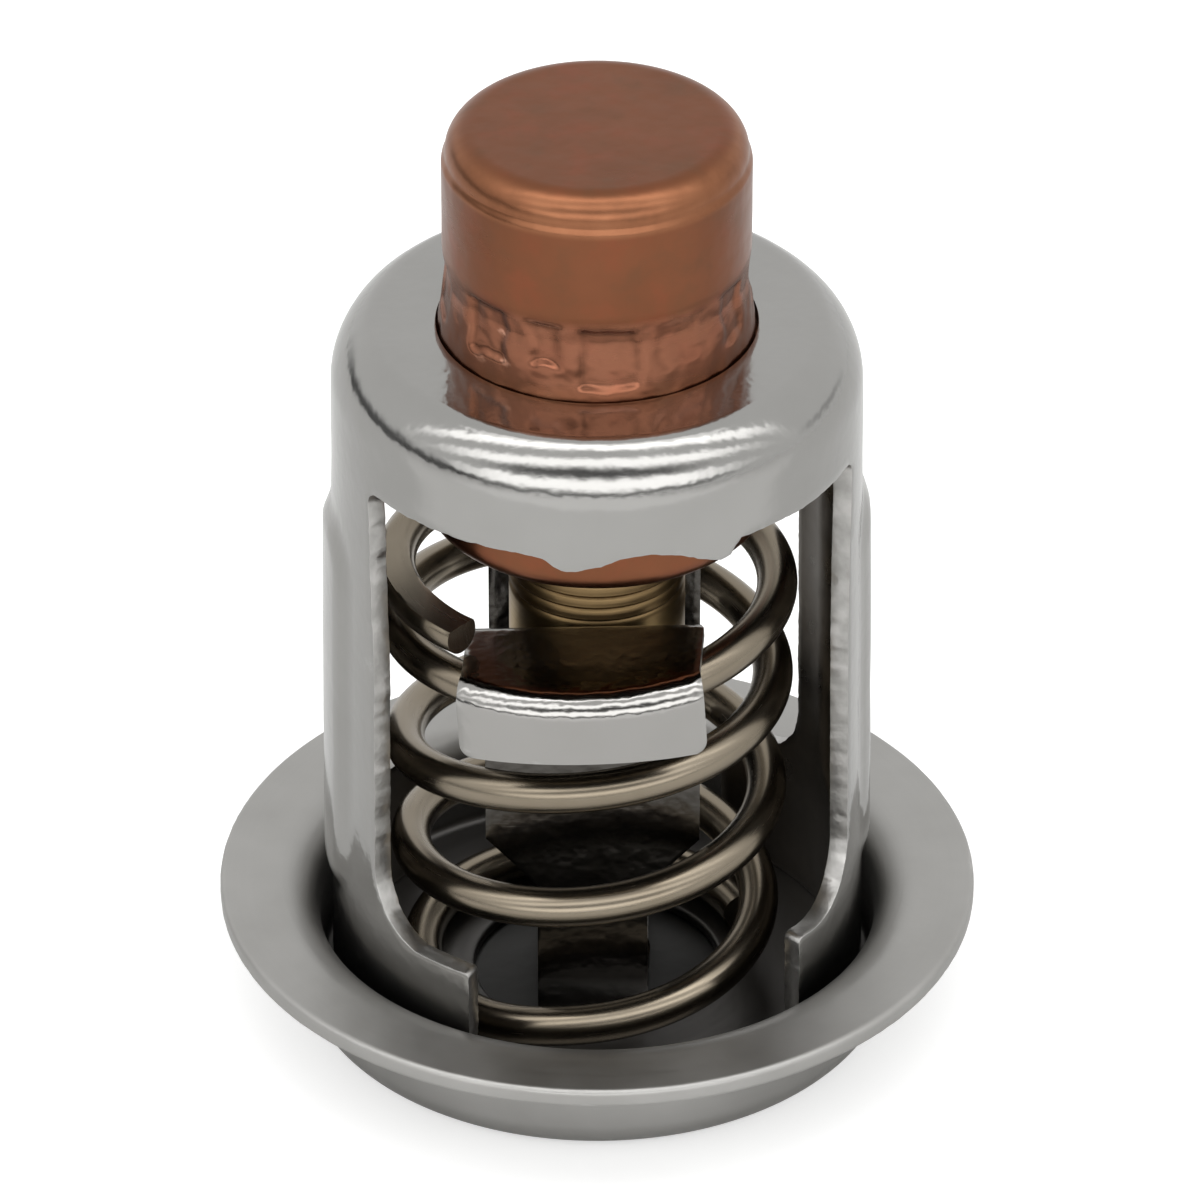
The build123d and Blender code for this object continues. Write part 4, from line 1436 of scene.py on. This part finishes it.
def make_floor():
    size = paper_half_size
    z = stand_z * MM - paper_gap
    mesh = bpy.data.meshes.new("floor")
    corners = [(-size, -size, z), (size, -size, z), (size, size, z), (-size, size, z)]
    mesh.from_pydata(corners, [], [(0, 1, 2, 3)])
    floor = link("floor", mesh)
    made = bpy.data.materials.new("pale_floor")
    made.use_nodes = True
    tree = made.node_tree
    tree.nodes.clear()
    out = new_node(tree, "ShaderNodeOutputMaterial")
    matte = new_node(tree, "ShaderNodeBsdfDiffuse")
    feed(tree, matte, Color=paper_tone)
    path = new_node(tree, "ShaderNodeLightPath").outputs
    mirrored = maths(tree, "MAXIMUM", path["Is Glossy Ray"], path["Is Transmission Ray"])
    seen = times(tree, path["Is Camera Ray"], paper_glow)
    spot = new_node(tree, "ShaderNodeSeparateXYZ")
    feed(tree, spot, Vector=object_place(tree))
    ahead = times(tree, spot.outputs["Y"], -1.0)
    near, far = (spread(tree, ahead, *step, 0.0, paper_mirrored, smooth=True) for step in paper_steps)
    beside = spread(tree, maths(tree, "ABSOLUTE", spot.outputs["X"]), *paper_sides, smooth=True)
    front = times(tree, maths(tree, "ADD", near, far), beside)
    glow = new_node(tree, "ShaderNodeEmission")
    feed(tree, glow, Strength=maths(tree, "MULTIPLY_ADD", mirrored, front, seen))
    both = new_node(tree, "ShaderNodeAddShader")
    join(tree, matte.outputs[0], both.inputs[0])
    join(tree, glow.outputs[0], both.inputs[1])
    join(tree, both.outputs[0], out.inputs["Surface"])
    mesh.materials.append(made)


def make_top_light():
    light = bpy.data.lights.new("top_light", "AREA")
    light.shape = "RECTANGLE"
    light.size, light.size_y = top_light_size
    light.energy = top_light_power
    lamp = link("top_light", light)
    lamp.location = top_light_place
    way = Vector(top_light_aim) - Vector(top_light_place)
    lamp.rotation_euler = way.to_track_quat("-Z", "Y").to_euler()


def panel_mask(tree, elevation, side, low, high, half_width):
    # A panel of the tent in front of and over the object: from one elevation to another, in degrees
    # up from the front and on over the top, and so far to each side
    above = spread(tree, elevation, low - panel_edge, low + panel_edge, smooth=True)
    below = spread(tree, elevation, high + panel_edge, high - panel_edge, smooth=True)
    within = spread(tree, side, half_width + panel_side_out, half_width - panel_side_in, smooth=True)
    return times(tree, above, below, within)


def make_world():
    # A light tent: pale all round, two bright strips in front with a dark gap between them, which is
    # the opening that the photograph is taken through, and a bright strip over the top
    world = bpy.data.worlds.new("light_tent")
    bpy.context.scene.world = world
    world.use_nodes = True
    tree = world.node_tree
    tree.nodes.clear()
    out = new_node(tree, "ShaderNodeOutputWorld")
    parts = new_node(tree, "ShaderNodeSeparateXYZ")
    feed(tree, parts, Vector=new_node(tree, "ShaderNodeTexCoord").outputs["Generated"])
    x, y, z = parts.outputs
    ahead = times(tree, y, -1.0)
    to_degrees = 180.0 / math.pi
    elevation = times(tree, maths(tree, "ARCTAN2", z, ahead), to_degrees)
    side = maths(tree, "ABSOLUTE", x)
    colour = (tent_level, tent_level, tent_level * tent_warmth)
    for low, high, half_width, level in tent_panels:
        mask = panel_mask(tree, elevation, side, low, high, half_width)
        colour = blend_colour(tree, mask, colour, (level,) * 3)
    # The dark fold where the tent meets the table, in three stretches
    height = times(tree, maths(tree, "ARCSINE", z), to_degrees)
    above = maths(tree, "SUBTRACT", height, maths(tree, "MULTIPLY_ADD", x, fold_tilt, fold_middle))
    turned = times(tree, maths(tree, "ARCTAN2", x, ahead), to_degrees)
    wide = spread(tree, turned, *fold_widens, 1.0, fold_widening)
    fold = maths(tree, "DIVIDE", maths(tree, "ABSOLUTE", above), wide)
    fold = spread(tree, fold, fold_gone, fold_full, smooth=True)

    def stretch(value, full, gone, share=1.0):
        return spread(tree, value, gone, full, 0.0, share, smooth=True)

    left = times(tree, stretch(turned, *fold_left_end), stretch(turned, *fold_left_start))
    front = stretch(maths(tree, "ABSOLUTE", turned), *fold_front)
    right = stretch(maths(tree, "ABSOLUTE", maths(tree, "SUBTRACT", turned, fold_right_middle)), *fold_right)
    fold = times(tree, fold, maths(tree, "MAXIMUM", left, maths(tree, "MAXIMUM", front, right)))
    colour = blend_colour(tree, fold, colour, (fold_level,) * 3)
    light = new_node(tree, "ShaderNodeBackground")
    feed(tree, light, Color=colour)
    white = new_node(tree, "ShaderNodeBackground")
    feed(tree, white, Color=(1.0, 1.0, 1.0))
    both = new_node(tree, "ShaderNodeMixShader")
    feed(tree, both, Fac=new_node(tree, "ShaderNodeLightPath").outputs["Is Camera Ray"])
    join(tree, light.outputs[0], both.inputs[1])
    join(tree, white.outputs[0], both.inputs[2])
    join(tree, both.outputs[0], out.inputs["Surface"])


def make_camera():
    # The photograph's viewpoint: 450 mm from the middle of the flange, looking down by 33 degrees
    camera = bpy.data.cameras.new("camera")
    camera.sensor_width = camera_sensor
    camera.lens = camera_lens
    camera.clip_start = 0.01
    camera.clip_end = 20.0
    holder = link("camera", camera)
    holder.location = camera_place
    holder.rotation_euler = (math.radians(90.0 - camera_looks_down), 0.0, 0.0)
    bpy.context.scene.camera = holder


make_floor()
make_world()
make_top_light()
make_camera()

bpy.context.scene.view_settings.view_transform = "Standard"
